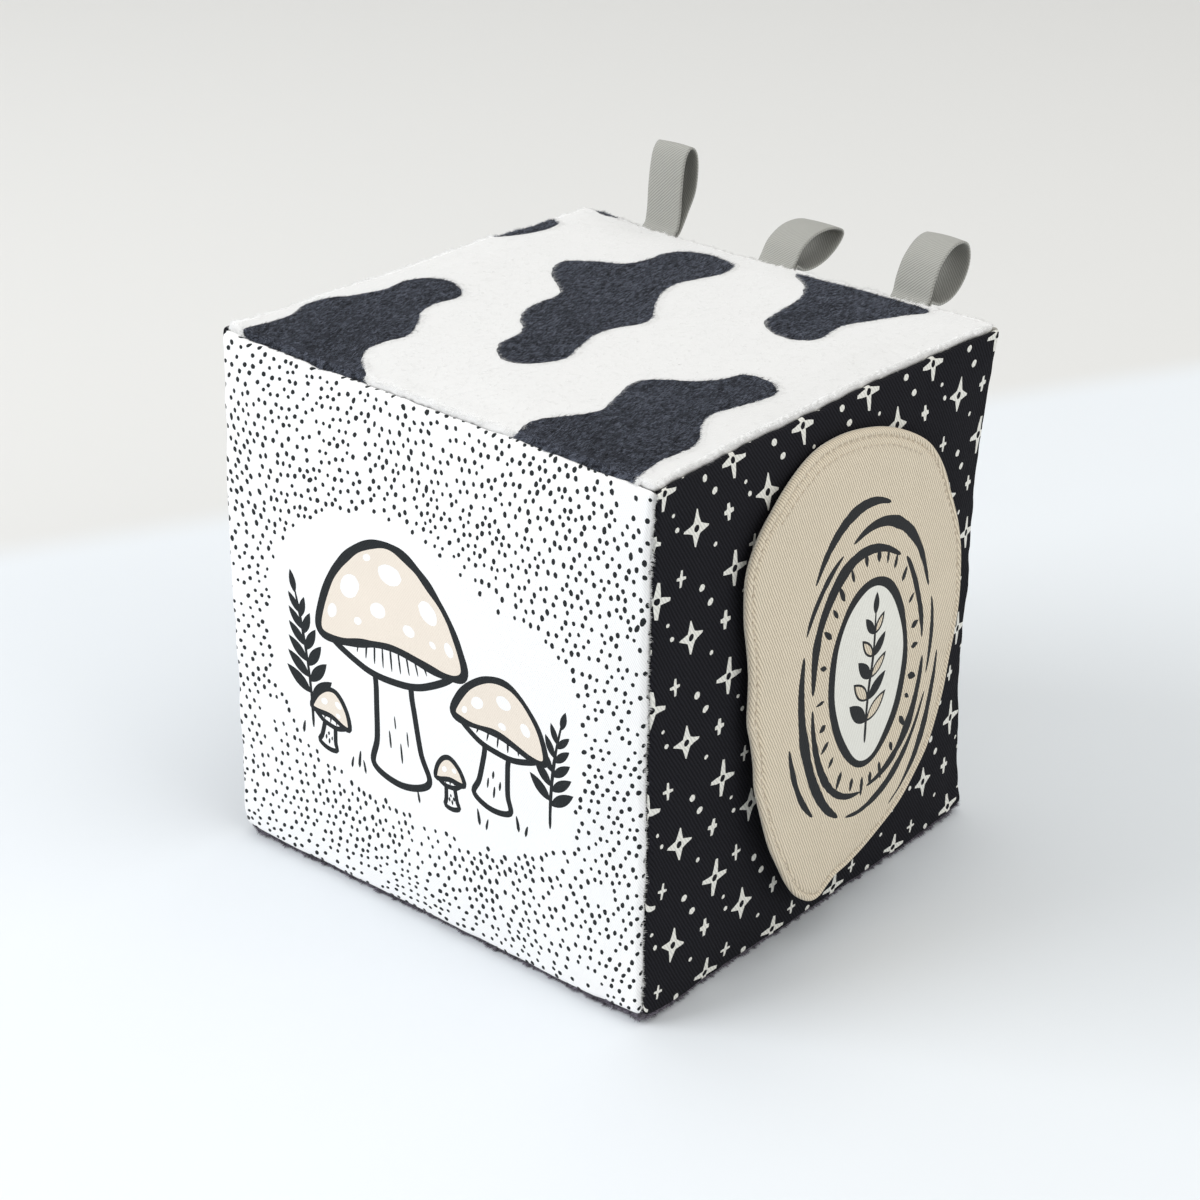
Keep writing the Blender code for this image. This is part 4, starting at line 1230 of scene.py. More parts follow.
# ------------------------------------------------------------ threads, tapes
def tube_mesh(paths, radius, sides=8, caps=True):
    """Closed round tubes along each path. Returns points, triangles and flat
    places (along, round) for the twist of the thread."""
    verts, tris, flat = [], [], []
    base = 0
    for path in paths:
        path = np.asarray(path, float)
        n = len(path)
        d = np.gradient(path, axis=0)
        d /= np.maximum(np.linalg.norm(d, axis=1, keepdims=True), 1e-12)
        ref = np.array([0.0, 0.0, 1.0]) if abs(d[0][2]) < 0.8 else np.array([1.0, 0.0, 0.0])
        a = np.cross(d, ref)
        a /= np.maximum(np.linalg.norm(a, axis=1, keepdims=True), 1e-12)
        b = np.cross(d, a)
        s = np.concatenate([[0], np.cumsum(np.linalg.norm(np.diff(path, axis=0), axis=1))])
        t = s / s[-1]
        taper = np.sqrt(np.clip(1 - (2 * np.abs(t - 0.5)) ** 6, 0.08, 1))
        th = np.arange(sides) * 2 * math.pi / sides
        ring = (
            path[:, None, :]
            + (a[:, None, :] * np.cos(th)[None, :, None] + b[:, None, :] * np.sin(th)[None, :, None]) * (radius * taper)[:, None, None]
        )
        verts.append(ring.reshape(-1, 3))
        flat.append(np.stack([np.repeat(s, sides), np.tile(th, n) / 1000, np.zeros(n * sides)], axis=1))
        i, j = np.meshgrid(np.arange(n - 1), np.arange(sides), indexing="ij")
        p0 = base + i * sides + j
        p1 = base + i * sides + (j + 1) % sides
        q0, q1 = p0 + sides, p1 + sides
        tris.append(np.stack([p0, p1, q1], -1).reshape(-1, 3))
        tris.append(np.stack([p0, q1, q0], -1).reshape(-1, 3))
        if caps:
            for k in range(1, sides - 1):
                tris.append(np.array([[base, base + k + 1, base + k]]))
                last = base + (n - 1) * sides
                tris.append(np.array([[last, last + k, last + k + 1]]))
        base += n * sides
    v, t = np.concatenate(verts), np.concatenate(tris)
    # turn every face out, judged on the first tube
    q = v[t[: 2 * sides]]
    c = np.asarray(paths[0])[0]
    out = (np.cross(q[:, 1] - q[:, 0], q[:, 2] - q[:, 0]) * (q.mean(1) - c)).sum(1)
    if np.median(out) < 0:
        t = t[:, ::-1]
    return v, t, np.concatenate(flat)


# ------------------------------------------------------------ building panels
patches = patch_outlines()
top = TOP.build("top_plush_cloth", [(1, p) for p in patches], [PLUSH_WHITE, PLUSH_DARK])
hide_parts("top_plush_panel")
front = FRONT.build("front_dotted_cloth", front_print(), [WHITE, DOT_INK, TAN_PRINT])
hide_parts("front_dotted_panel")
right = RIGHT.build("right_star_cloth", star_print(RIGHT), [BLACK, STAR_INK])
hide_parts("right_star_panel")
back = BACK.build("back_cloth", sprinkle(BACK, 12.0, 1.5, 41), [GREY, GREY_INK])
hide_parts("back_panel")
left = LEFT.build("left_cloth", sprinkle(LEFT, 9.0, 0.95, 43), [BLACK, STAR_INK])
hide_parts("left_panel")
base = BASE.build("base_pile_cloth", [], [BASE_GROUND])
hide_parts("base_panel")

many = 1.0
NAP = (0.80, 0.60, 0.0)
pile = pile_on(
    TOP, "top_pile", rooted(TOP, int(190000 * many), 100, 101), [FIBRE_WHITE, FIBRE_DARK],
    patch_outlines(0.0), (80, 62), (1.5 * MM, 1.15 * MM), (0.040 * MM, 0.075 * MM), 101, NAP, None, 0.11, 0.0,
)
# the pile at the folded edge. It is so thin and pale that light goes through
# it, and it is thickest at the left front corner, where it hides the seam's end
tuft = np.random.default_rng(113).uniform(-TOP.a0 - 2.0 * TOP.roll, -TOP.a0 + 1.5 * MM, (int(3200 * many), 2))
tuft = tuft[norm_of(tuft[:, 0], tuft[:, 1]) < TOP.a0 + TOP.roll * math.radians(108)]
fringe = pile_on(
    TOP, "top_edge_pile", np.concatenate([rooted(TOP, 0, 112, 109, int(44000 * many)), tuft]), [FIBRE_WHITE, FIBRE_DARK],
    patch_outlines(0.0), (80, 62), (1.5 * MM, 1.15 * MM), (0.040 * MM, 0.075 * MM), 109, NAP, None, 0.11, 0.44,
)
fringe.visible_shadow = False
fringe.visible_diffuse = False
fuzz = pile_on(
    BASE, "base_pile", rooted(BASE, int(14000 * many), 118, 103, int(26000 * many)), [FIBRE_BASE],
    None, (72, 72), (1.15 * MM, 1.15 * MM), (0.085 * MM, 0.085 * MM), 103, (0.9, 0.3, 0.0), 0.00004,
)
# the brushed edge of the dotted cloth, where it meets the black one: most of
# it near the top corner
rng = np.random.default_rng(107)
k = int(1900 * many)
brushed = np.column_stack([rng.uniform(FRONT.a0 + 1.6 * MM, FRONT.a0 + 2.7 * MM, k), HALF * (0.985 - 1.96 * rng.random(k) ** 1.9)])
lint = pile_on(
    FRONT, "front_edge_fuzz", brushed, [FIBRE_WHITE], None, (60, 60), (0.95 * MM, 0.95 * MM),
    (0.045 * MM, 0.045 * MM), 107, (1.0, 0.0, 0.0),
)

# ---------------------------------------------------------------------- flap
FLAP_OUTLINE = [
    (-1.0, 146.2), (9.4, 145.1), (19.5, 142.6), (29.0, 138.4), (37.5, 132.6),
    (43.9, 124.4), (48.2, 115.4), (51.8, 106.5), (53.8, 97.5), (54.0, 88.4),
    (53.4, 79.5), (51.4, 71.2), (49.0, 63.2), (46.8, 55.0), (43.8, 46.9),
    (39.0, 39.4), (32.6, 33.0), (25.2, 28.0), (17.1, 23.9), (9.4, 20.8),
    (2.2, 18.8), (-3.6, 17.8), (-7.2, 16.0), (-10.6, 14.0), (-14.8, 14.4),
    (-20.4, 18.6), (-25.0, 24.8), (-28.2, 30.6), (-31.9, 37.6), (-35.0, 45.2),
    (-37.5, 52.8), (-39.4, 59.8), (-39.6, 66.6), (-40.4, 73.1), (-41.6, 79.4),
    (-41.3, 86.0), (-41.3, 92.8), (-41.9, 100.6), (-43.0, 110.2), (-42.8, 121.2),
    (-38.2, 130.2), (-30.6, 137.2), (-21.6, 142.2), (-11.5, 145.5),
]  # fmt: skip
EDGE = smooth_line(mm(FLAP_OUTLINE), True, 1.0 * MM)[::-1]  # counter-clockwise
EDGE = EDGE - (0, FLAP_HINGE_Z)
EDGE_OUT = outward(EDGE)
HINGE_X = HALF + FLAP_PROUD
ARC = np.concatenate([[0], np.cumsum(np.linalg.norm(np.diff(EDGE, axis=0), axis=1))])


def flap_bulge(xy):
    """How the whole flap waves and bellies out, in metres."""
    free = step(-xy[:, 1], 2 * MM, 34 * MM)
    r2 = ((xy[:, 0] - 6 * MM) / (52 * MM)) ** 2 + ((xy[:, 1] + 62 * MM) / (66 * MM)) ** 2
    dome = 1.5 * MM * np.clip(1 - r2, 0, 1)
    wave = 0.75 * MM * flat_noise(xy, 34 * MM, 61) + 0.25 * MM * flat_noise(xy, 13 * MM, 62)
    return free * (dome + wave)


def flap_world(xy, z):
    """From the flap's own flat place and height to the row frame."""
    w = 1.3 * MM
    y = xy[:, 1]
    soft = w * np.logaddexp(0, y / w)
    s0 = -math.tan(FLAP_LEAN)
    lean = s0 * y + (-HEM_SLOPE - s0) * soft
    return np.column_stack([HINGE_X + z + lean + flap_bulge(xy), xy[:, 0], FLAP_HINGE_Z + y])


def from_edge(xy):
    """Distance in from the flap's edge, and how far round it."""
    from mathutils.kdtree import KDTree

    tree = KDTree(len(EDGE))
    for i, p in enumerate(EDGE):
        tree.insert((p[0], p[1], 0), i)
    tree.balance()
    near = [tree.find((x, y, 0)) for x, y in xy]
    return np.array([n[2] for n in near]), ARC[np.array([n[1] for n in near])]


def face_height(e, s, xy):
    """Height of the flap's outer face: turned edge, then the sewn-down row."""
    row = 0.54 * MM * np.exp(-(((e - 2.1 * MM) / (0.66 * MM)) ** 2)) * (1 - 0.38 * np.cos(2 * math.pi * s / (2.6 * MM)))
    pull = 0.24 * MM * np.exp(-np.abs(e - 2.1 * MM) / (2.6 * MM)) * flat_noise(xy, 3.0 * MM, 63)
    return pull - row


def flap_sheet(name, outer, shapes, mats, thick):
    """One layer: a flat middle with its print, and the edge rolled over."""
    rr = 1.10 * MM
    sign = 1 if outer else -1
    angles = np.radians([112, 96, 80, 64, 48, 32, 16])
    rings, flat, depth = [], [], []
    for th in angles:
        inset = rr - rr * math.sin(th)
        rings.append(EDGE - EDGE_OUT * inset)
        depth.append(np.full(len(EDGE), rr * (1 - math.cos(th))))
        flat.append(EDGE - EDGE_OUT * (rr - rr * th))
    steps = [rr, 1.45 * MM, 1.8 * MM, 2.1 * MM, 2.4 * MM, 2.8 * MM, 3.3 * MM, 3.9 * MM, 4.6 * MM]
    for e in steps:
        rings.append(EDGE - EDGE_OUT * e)
        depth.append(-face_height(np.full(len(EDGE), e), ARC, rings[-1]))
        flat.append(rings[-1])
    last = rings[-1]
    x = np.arange(-60 * MM, 60 * MM, (1.3) * MM)
    gx, gy = np.meshgrid(x, np.arange(-135 * MM, 12 * MM, (1.3) * MM))
    inner = np.column_stack([gx.ravel(), gy.ravel()])
    inner = inner[inside(inner, EDGE - EDGE_OUT * 5.2 * MM)]
    v2, t2, m2 = cut(inner, shapes, last)
    # the middle's rim points are the last ring's, so weld them by place
    from mathutils.kdtree import KDTree

    tree = KDTree(len(last))
    for i, p in enumerate(last):
        tree.insert((p[0], p[1], 0), i)
    tree.balance()
    k, rows = len(EDGE), len(rings)
    index = np.zeros(len(v2), np.int64)
    fresh = []
    for i, p in enumerate(v2):
        _, j, far = tree.find((p[0], p[1], 0))
        if far < 1e-6:
            index[i] = (rows - 1) * k + j
        else:
            index[i] = rows * k + len(fresh)
            fresh.append(i)
    fresh = np.array(fresh)
    xy = np.concatenate(rings + [v2[fresh]])
    fl = np.concatenate(flat + [v2[fresh]])
    e, s = from_edge(v2[fresh])
    z = np.concatenate([-d for d in depth] + [face_height(e, s, v2[fresh])])
    ring_t = []
    for r in range(rows - 1):
        i = np.arange(k)
        a, b = r * k + i, r * k + (i + 1) % k
        c, d = a + k, b + k
        ring_t += [np.stack([a, b, d], 1), np.stack([a, d, c], 1)]
    ring_t = np.concatenate(ring_t)
    tris = np.concatenate([ring_t, index[t2]])
    marks = np.concatenate([np.zeros(len(ring_t), np.int32), m2])
    if not outer:
        z = -FLAP_THICK - z
        tris = tris[:, ::-1]
    p = flap_world(xy, z)
    verts, tris, marks = thicken(p, tris, marks, np.full(len(p), thick))
    return mesh_of(name, verts, tris, marks, mats, np.concatenate([fl, fl]))


def flap_print():
    """An oval window with a leafy sprig, inside broken rings of brush marks."""
    cx, cy = 8.0, -61.0
    out = []
    window = [(cx + 16.2 * math.cos(a) * (1 + 0.05 * math.cos(2 * a + 0.7)), cy + 27.0 * math.sin(a) * (1 + 0.03 * math.sin(3 * a))) for a in np.linspace(0, 2 * math.pi, 14, endpoint=False)]
    ring = blob(mm(window), 0.0, 4)
    w = (1.25 * MM * (1 + 0.30 * flat_noise(ring, 11 * MM, 17)))[:, None]
    out.append((1, ring + w * outward(ring)))
    out.append((2, ring - w * outward(ring)))
    # sprig
    t = np.linspace(0, 1, 9)
    stem = np.column_stack([cx - 1.0 + 3.0 * t**1.5, cy - 21 + 38 * t])
    out.append((1, stroke(stem * MM, 1.1 * MM, (0.05, 0.3), 0.5, 5)))
    for i in range(5):
        s = 0.16 + 0.17 * i
        px, py = cx - 1.0 + 3.0 * s**1.5, cy - 21 + 38 * s
        k = 11.0 - 1.0 * i
        for side in (1, -1):
            turn = 86 - side * (50 - 3 * i)
            out.append((1, leaf(px * MM, py * MM, k * MM, k * 0.46 * MM, turn)))
            inner = leaf((px + 1.0 * math.cos(math.radians(turn))) * MM, (py + 1.0 * math.sin(math.radians(turn))) * MM, (k - 2.3) * MM, (k * 0.46 - 1.5) * MM, turn)
            if (i + (side > 0)) % 2:
                out.append((3, inner))
    out.append((1, leaf((cx + 1.9) * MM, (cy + 16.4) * MM, 6.5 * MM, 3.0 * MM, 84)))
    # short rays round the window
    n = 26
    for i in range(n):
        a = 2 * math.pi * i / n + 0.05 * math.sin(5 * i)
        r0, r1 = 1.23, 1.23 + 0.17 + 0.05 * math.sin(3.1 * i)
        p0 = (cx + 16.2 * r0 * math.cos(a), cy + 27.0 * (r0 - 0.05) * math.sin(a))
        p1 = (cx + 16.2 * r1 * math.cos(a), cy + 27.0 * (r1 - 0.05) * math.sin(a))
        out.append((1, stroke(mm([p0, p1]), (1.7 + 0.4 * math.sin(2.3 * i)) * MM, (0.3, 0.6), 0.30, 80 + i)))

    def arc(rx, ry, a0, a1, width, seed, wob=0.03):
        a = np.radians(np.linspace(a0, a1, 9))
        f = 1 + wob * np.sin(3 * a + seed)
        pts = np.column_stack([cx + rx * f * np.cos(a), cy + ry * f * np.sin(a)])
        out.append((1, stroke(pts * MM, width * MM, (0.45, 0.45), 0.18, seed)))

    arc(25.4, 36.4, 58, 176, 3.8, 1)
    arc(25.4, 36.4, 184, 264, 2.8, 2)
    arc(25.4, 36.4, 272, 352, 3.4, 3)
    arc(25.4, 36.4, 2, 50, 2.4, 4)
    arc(30.2, 42.2, 22, 104, 3.0, 5)
    arc(30.2, 42.2, 114, 152, 2.2, 6)
    arc(30.2, 42.2, 160, 246, 3.8, 7)
    arc(30.2, 42.2, 254, 336, 2.6, 8)
    arc(30.2, 42.2, 344, 376, 1.9, 12)
    arc(34.6, 47.6, 74, 134, 3.2, 9)
    arc(34.6, 47.6, 192, 226, 2.2, 10)
    arc(34.6, 47.6, 290, 352, 2.8, 11)
    return out


def bent(ob):
    """The object's placement baked into its points. Everything on the flap turns over the same short stretch of cloth,
    but flap_world makes that turn, not this.
    """
    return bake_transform(ob)


def area_of(loop):
    nxt = np.roll(loop, -1, axis=0)
    return abs((loop[:, 0] * nxt[:, 1] - nxt[:, 0] * loop[:, 1]).sum() / 2)


flap_face = flap_sheet("flap_face_cloth", True, flap_print(), [TAN, FLAP_INK, FLAP_WHITE, TAN], 0.0008)
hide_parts("flap_face", "flap_top_hem")
bent(flap_face)
flap_back = flap_sheet("flap_backing_cloth", False, [], [CREAM], 0.0008)
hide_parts("flap_backing")
bent(flap_back)


def stitch_row(inset, select, pitch, radius, lift, seed):
    """Short arched stitches along the flap, inset from its edge."""
    line = EDGE - EDGE_OUT * inset
    ok = select(line)
    runs = []
    k = len(line)
    start = next((i for i in range(k) if ok[i] and not ok[i - 1]), 0)
    order = [(start + i) % k for i in range(k)]
    run = [i for i in order if ok[i]]
    path = line[run]
    if ok.all():
        path = np.concatenate([path, path[:1]])
    along = np.concatenate([[0], np.cumsum(np.linalg.norm(np.diff(path, axis=0), axis=1))])
    n = int(along[-1] / pitch)
    for i in range(n):
        j = scatter(np.array([[i, seed, 0], [i, seed, 1]]), 77)
        a = i * pitch + 0.14 * pitch + 0.03 * pitch * j[0]
        b = (i + 1) * pitch - 0.14 * pitch + 0.03 * pitch * j[1]
        at = np.linspace(a, b, 7)
        xy = np.column_stack([np.interp(at, along, path[:, q]) for q in (0, 1)])
        xy = xy + 0.06 * MM * j[0]
        t = np.linspace(0, 1, 7)
        arch = np.sin(np.pi * t) ** 0.6
        e = np.full(7, inset)
        z = face_height(e, np.full(7, 0.65 * MM), xy) - 0.04 * MM + (lift - 0.02 * MM) * arch
        runs.append(flap_world(xy, z))
    return runs


def stitch_object(name, runs, radius, node, mat):
    v, t, fl = tube_mesh(runs, radius, 8)
    ob = mesh_of(name, v, t, None, [mat], fl)
    if node:
        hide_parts(node)
    return ob


edge_runs = stitch_row(2.1 * MM, lambda p: np.ones(len(p), bool), 2.6 * MM, 0.21 * MM, 0.16 * MM, 1)
edge_stitch = stitch_object("flap_topstitching", edge_runs, 0.21 * MM, "flap_edge_stitch", THREAD_TAN)
bent(edge_stitch)
top_runs = stitch_row(4.3 * MM, lambda p: p[:, 1] > -6.5 * MM, 2.6 * MM, 0.21 * MM, 0.16 * MM, 2)
attach = stitch_object("flap_attaching_seam", top_runs, 0.21 * MM, "flap_attach_stitch", THREAD_TAN)
bent(attach)


def film_sheet():
    """The crinkly film between the flap's two layers, creased at random."""
    inset = 3.6 * MM
    rim = EDGE - EDGE_OUT * inset
    keep = rim[rim[:, 1] < -3.6 * MM]
    # close it straight across below the bend
    cutoff = -3.6 * MM
    loop = [tuple(p) for p in keep]
    jump = max(range(len(loop)), key=lambda i: math.dist(loop[i], loop[i - 1]))
    loop = loop[jump:] + loop[:jump]
    loop = [(loop[0][0], cutoff)] + loop + [(loop[-1][0], cutoff)]
    loop = np.array(loop)
    gx, gy = np.meshgrid(np.arange(-60 * MM, 60 * MM, 2.4 * MM), np.arange(-135 * MM, 12 * MM, 2.4 * MM))
    pts = np.column_stack([gx.ravel(), gy.ravel()])
    pts = pts[inside(pts, moved(loop, 0, 0, 1.0))]
    far, _ = from_edge(pts)
    pts = pts[(far > inset + 0.8 * MM) & (pts[:, 1] < cutoff - 0.8 * MM)]
    xy, tris, marks = cut(pts, [], loop)
    crease = 0.10 * MM * np.abs(flat_noise(xy, 7 * MM, 71)) - 0.05 * MM
    p = flap_world(xy, -1.10 * MM + crease)
    verts, tris, marks = thicken(p, tris, marks, np.full(len(p), 0.00015))
    return mesh_of("flap_film", verts, tris, marks, [FILM], np.concatenate([xy, xy]), smooth=False), area_of(loop), loop


flap_film, film_area, film_loop = film_sheet()
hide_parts("flap_crinkle_film")
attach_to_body(flap_film, "flap")


# -------------------------------------------------------------- ribbon loops
LOOP_PATHS = {
    "ribbon_loop_left": [
        (0.3, 5.0), (0.6, 11.0), (1.3, 16.8), (2.8, 21.8), (5.4, 24.0),
        (8.0, 21.6), (8.6, 16.2), (7.4, 10.0), (4.0, 4.6),
    ],
    "ribbon_loop_middle": [
        (2.6, 4.2), (8.2, 6.6), (15.0, 7.0), (20.8, 5.8), (23.2, 3.8),
        (20.8, 1.0), (15.6, -1.6), (9.6, -2.8), (3.8, -2.4),
    ],
    "ribbon_loop_right": [
        (1.0, 4.6), (4.2, 9.4), (9.6, 13.0), (15.0, 13.6), (17.8, 11.4),
        (18.2, 7.0), (15.6, 2.2), (10.6, -1.2), (4.6, -2.0),
    ],
}  # fmt: skip


def ribbon(name, x0, path, seed):
    """A doubled tape: out of the seam, round and back into it."""
    seam = pillow(np.array([[x0, HALF - 0.0009, HALF - 0.0009]]))[0]
    root = seam + (0, 0.0012, 0.0012)
    line = [(-3.55, -2.65), (-1.60, -0.75), (-0.42, 0.62)] + list(path) + [(0.62, -0.42), (-0.75, -1.60), (-2.65, -3.55)]
    line = smooth_line(mm(line), False, 0.45 * MM)
    n = len(line)
    d = np.gradient(line, axis=0)
    d /= np.linalg.norm(d, axis=1, keepdims=True)
    out = np.column_stack([-d[:, 1], d[:, 0]])  # outside, as the loop runs clockwise
    across = 17
    u = np.linspace(-1, 1, across)
    t = np.linspace(0, 1, n)
    # the tape is a little narrower where it is caught, and not quite true
    half = RIBBON_WIDTH / 2 * (1 - 0.02 * np.exp(-((np.minimum(t, 1 - t) / 0.05) ** 2)))
    skew = 0.35 * MM * np.sin(2 * math.pi * t + seed) * np.sin(math.pi * t)
    pts = np.zeros((n, across, 3))
    cup = 0.22 * MM * np.sin(math.pi * t)
    for j, w in enumerate(u):
        lift = -cup * (w * w - 0.33) + 0.10 * MM * noise(np.column_stack([t * 0.05, np.full(n, w * 0.006), np.full(n, 0.01 * seed)]), 0.008, seed)
        pts[:, j, 0] = root[0] + w * half + skew
        pts[:, j, 1] = root[1] + line[:, 0] + out[:, 0] * (lift + RIBBON_THICK / 2)
        pts[:, j, 2] = root[2] + line[:, 1] + out[:, 1] * (lift + RIBBON_THICK / 2)
    verts = pts.reshape(-1, 3)
    along = np.concatenate([[0], np.cumsum(np.linalg.norm(np.diff(line, axis=0), axis=1))])
    flat = np.column_stack([np.tile(u * RIBBON_WIDTH / 2, n), np.repeat(along, across)])
    i, j = np.meshgrid(np.arange(n - 1), np.arange(across - 1), indexing="ij")
    a = (i * across + j).ravel()
    tris = np.concatenate([np.stack([a, a + 1, a + across + 1], 1), np.stack([a, a + across + 1, a + across], 1)])
    # outside must face out of the loop
    q = verts[tris[len(tris) // 4]]
    nn = np.cross(q[1] - q[0], q[2] - q[0])
    k = tris[len(tris) // 4][0] // across
    if nn[1] * out[k, 0] + nn[2] * out[k, 1] < 0:
        tris = tris[:, ::-1]
    edge = 1 - 0.35 * np.tile(np.abs(u) ** 8, n)
    v, t_, m = thicken(verts, tris, np.zeros(len(tris), np.int32), RIBBON_THICK * edge)
    # the inner copy of the tape gets the darker material: painted shade inside the loop
    m[len(tris) : 2 * len(tris)] = 1
    ob = mesh_of(name + "_tape", v, t_, m, [RIBBON, RIBBON_PAINTED_SHADE], np.concatenate([flat, flat]))
    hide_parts(name)
    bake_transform(ob)
    return ob


for i, (x0, (name, path)) in enumerate(zip(LOOP_X, LOOP_PATHS.items())):
    ribbon(name, x0, path, i + 1)


# ------------------------------------------------------- hand-sewn closing
def closing():
    out_xy = np.array([-1.0, 1.0, 0]) * SLANT
    across = np.array([1.0, 1.0, 0]) * SLANT
    rungs = 16
    pts = []
    for i in range(2 * rungs):
        z = -0.050 + 0.0026 * i
        side = 0.0007 if (i // 2) % 2 else -0.0007
        p = np.array([-HALF, HALF, z]) - out_xy * 0.0013 + across * side
        p[2] = z
        pts.append(p)
    pts = np.array(pts)
    world = cover(pts)
    line = smooth_line(world, False, 0.25 * MM)
    return line


stitch = stitch_object("closing_ladder_stitch", [closing()], 0.24 * MM, "closing_stitch", THREAD_BLACK)
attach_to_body(stitch, "block")


# ----------------------------------------------------------- inside the block
def foam_half(name, upper, node):
    """Half of the foam block, with rounded edges and half of the pocket."""
    x, back = HALF - 0.0028, 0.0028 * Z_SCALE
    top, low = HEIGHT - back, back
    mid = HEIGHT / 2
    sgn = 1 if upper else -1
    reach = (top - low) / 2
    n = 28
    s = np.linspace(-1, 1, n + 1)
    gx, gy = np.meshgrid(s, s)
    xy = np.column_stack([gx.ravel(), gy.ravel()])
    verts, tris = [], []

    def shape(c):
        """c in the unit cube of the half: x, y in -1..1, z in 0..1."""
        p = np.column_stack([c[:, 0] * x, c[:, 1] * x, c[:, 2] * reach])
        r = 0.0125
        size = np.array([x, x, reach])
        core = np.clip(p, -(size - r), size - r)
        d = p - core
        l = np.linalg.norm(d, axis=1)
        k = np.where(l > 1e-9, r / np.maximum(l, 1e-9), 0)
        # a rounded chamfer: a point past the core goes to the nearer of its place and the round
        q = np.where((l > r)[:, None], core + d * k[:, None], p)
        return q

    base = 0

    def face(c, flip):
        nonlocal base
        verts.append(c)
        i, j = np.meshgrid(np.arange(n), np.arange(n), indexing="ij")
        a = (base + i * (n + 1) + j).ravel()
        t = np.concatenate([np.stack([a, a + 1, a + n + 2], 1), np.stack([a, a + n + 2, a + n + 1], 1)])
        tris.append(t[:, ::-1] if flip else t)
        base += (n + 1) ** 2

    one = np.ones(len(xy))
    h = (xy[:, 1] + 1) / 2
    face(np.column_stack([xy[:, 0], xy[:, 1], one]), False)
    face(np.column_stack([xy[:, 0], xy[:, 1], 0 * one]), True)
    face(np.column_stack([one, xy[:, 0], h]), False)
    face(np.column_stack([-one, xy[:, 0], h]), True)
    face(np.column_stack([xy[:, 0], one, h]), True)
    face(np.column_stack([xy[:, 0], -one, h]), False)
    v, t = np.concatenate(verts), np.concatenate(tris)
    p = shape(v)
    # half of the pocket, pressed into the flat side
    flat_side = v[:, 2] < 1e-9
    rr = np.linalg.norm(p[:, :2], axis=1)
    dip = np.sqrt(np.clip(0.0200**2 - rr**2, 0, None))
    p[:, 2] = np.where(flat_side, np.maximum(p[:, 2], dip), p[:, 2])
    p[:, 2] += GAP / 2
    p = p * (1, 1, sgn)
    if sgn < 0:
        t = t[:, ::-1]
    p[:, 2] += mid
    import bmesh

    ob = mesh_of(name, p, t, None, [FOAM])
    bm = bmesh.new()
    bm.from_mesh(ob.data)
    bmesh.ops.remove_doubles(bm, verts=bm.verts[:], dist=0.00002)
    bmesh.ops.recalc_face_normals(bm, faces=bm.faces[:])
    bm.to_mesh(ob.data)
    bm.free()
    ob.data.shade_smooth()
    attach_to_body(ob, "block")
    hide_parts(node)
    return ob


foam_half("foam_lower", False, "foam_core_lower")
foam_half("foam_upper", True, "foam_core_upper")


def side_film():
    """The crinkly film sewn in behind the left panel, creased at random."""
    g = np.arange(-50, 51, 2.5) * MM
    y, z = (c.ravel() for c in np.meshgrid(g, g))
    yz = np.column_stack([y, z])
    k = len(g)
    box = [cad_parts["left_crinkle_film"].matrix_world @ v.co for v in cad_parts["left_crinkle_film"].data.vertices]
    middle = np.array([tuple(v) for v in box]).mean(axis=0)
    crease = 0.10 * MM * (2 * np.abs(flat_noise(yz, 9 * MM, 73)) - 0.5)
    p = np.column_stack([middle[0] + crease, middle[1] + y, middle[2] + z])
    i, j = np.meshgrid(np.arange(k - 1), np.arange(k - 1))
    a = (i * k + j).ravel()
    tris = np.concatenate([np.stack([a, a + k + 1, a + 1], 1), np.stack([a, a + k, a + k + 1], 1)])
    verts, tris, marks = thicken(p, tris, np.zeros(len(tris), np.int32), np.full(len(p), 0.00012))
    ob = mesh_of("left_side_film", verts, tris, marks, [FILM], np.concatenate([yz, yz]), smooth=False)
    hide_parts("left_crinkle_film")
    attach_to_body(ob, "block")


side_film()
for node, mat in (("rattle_shell_lower", SHELL), ("rattle_shell_upper", SHELL), ("rattle_ball", PELLET)):
    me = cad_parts[node].data
    me.materials.clear()
    me.materials.append(mat)


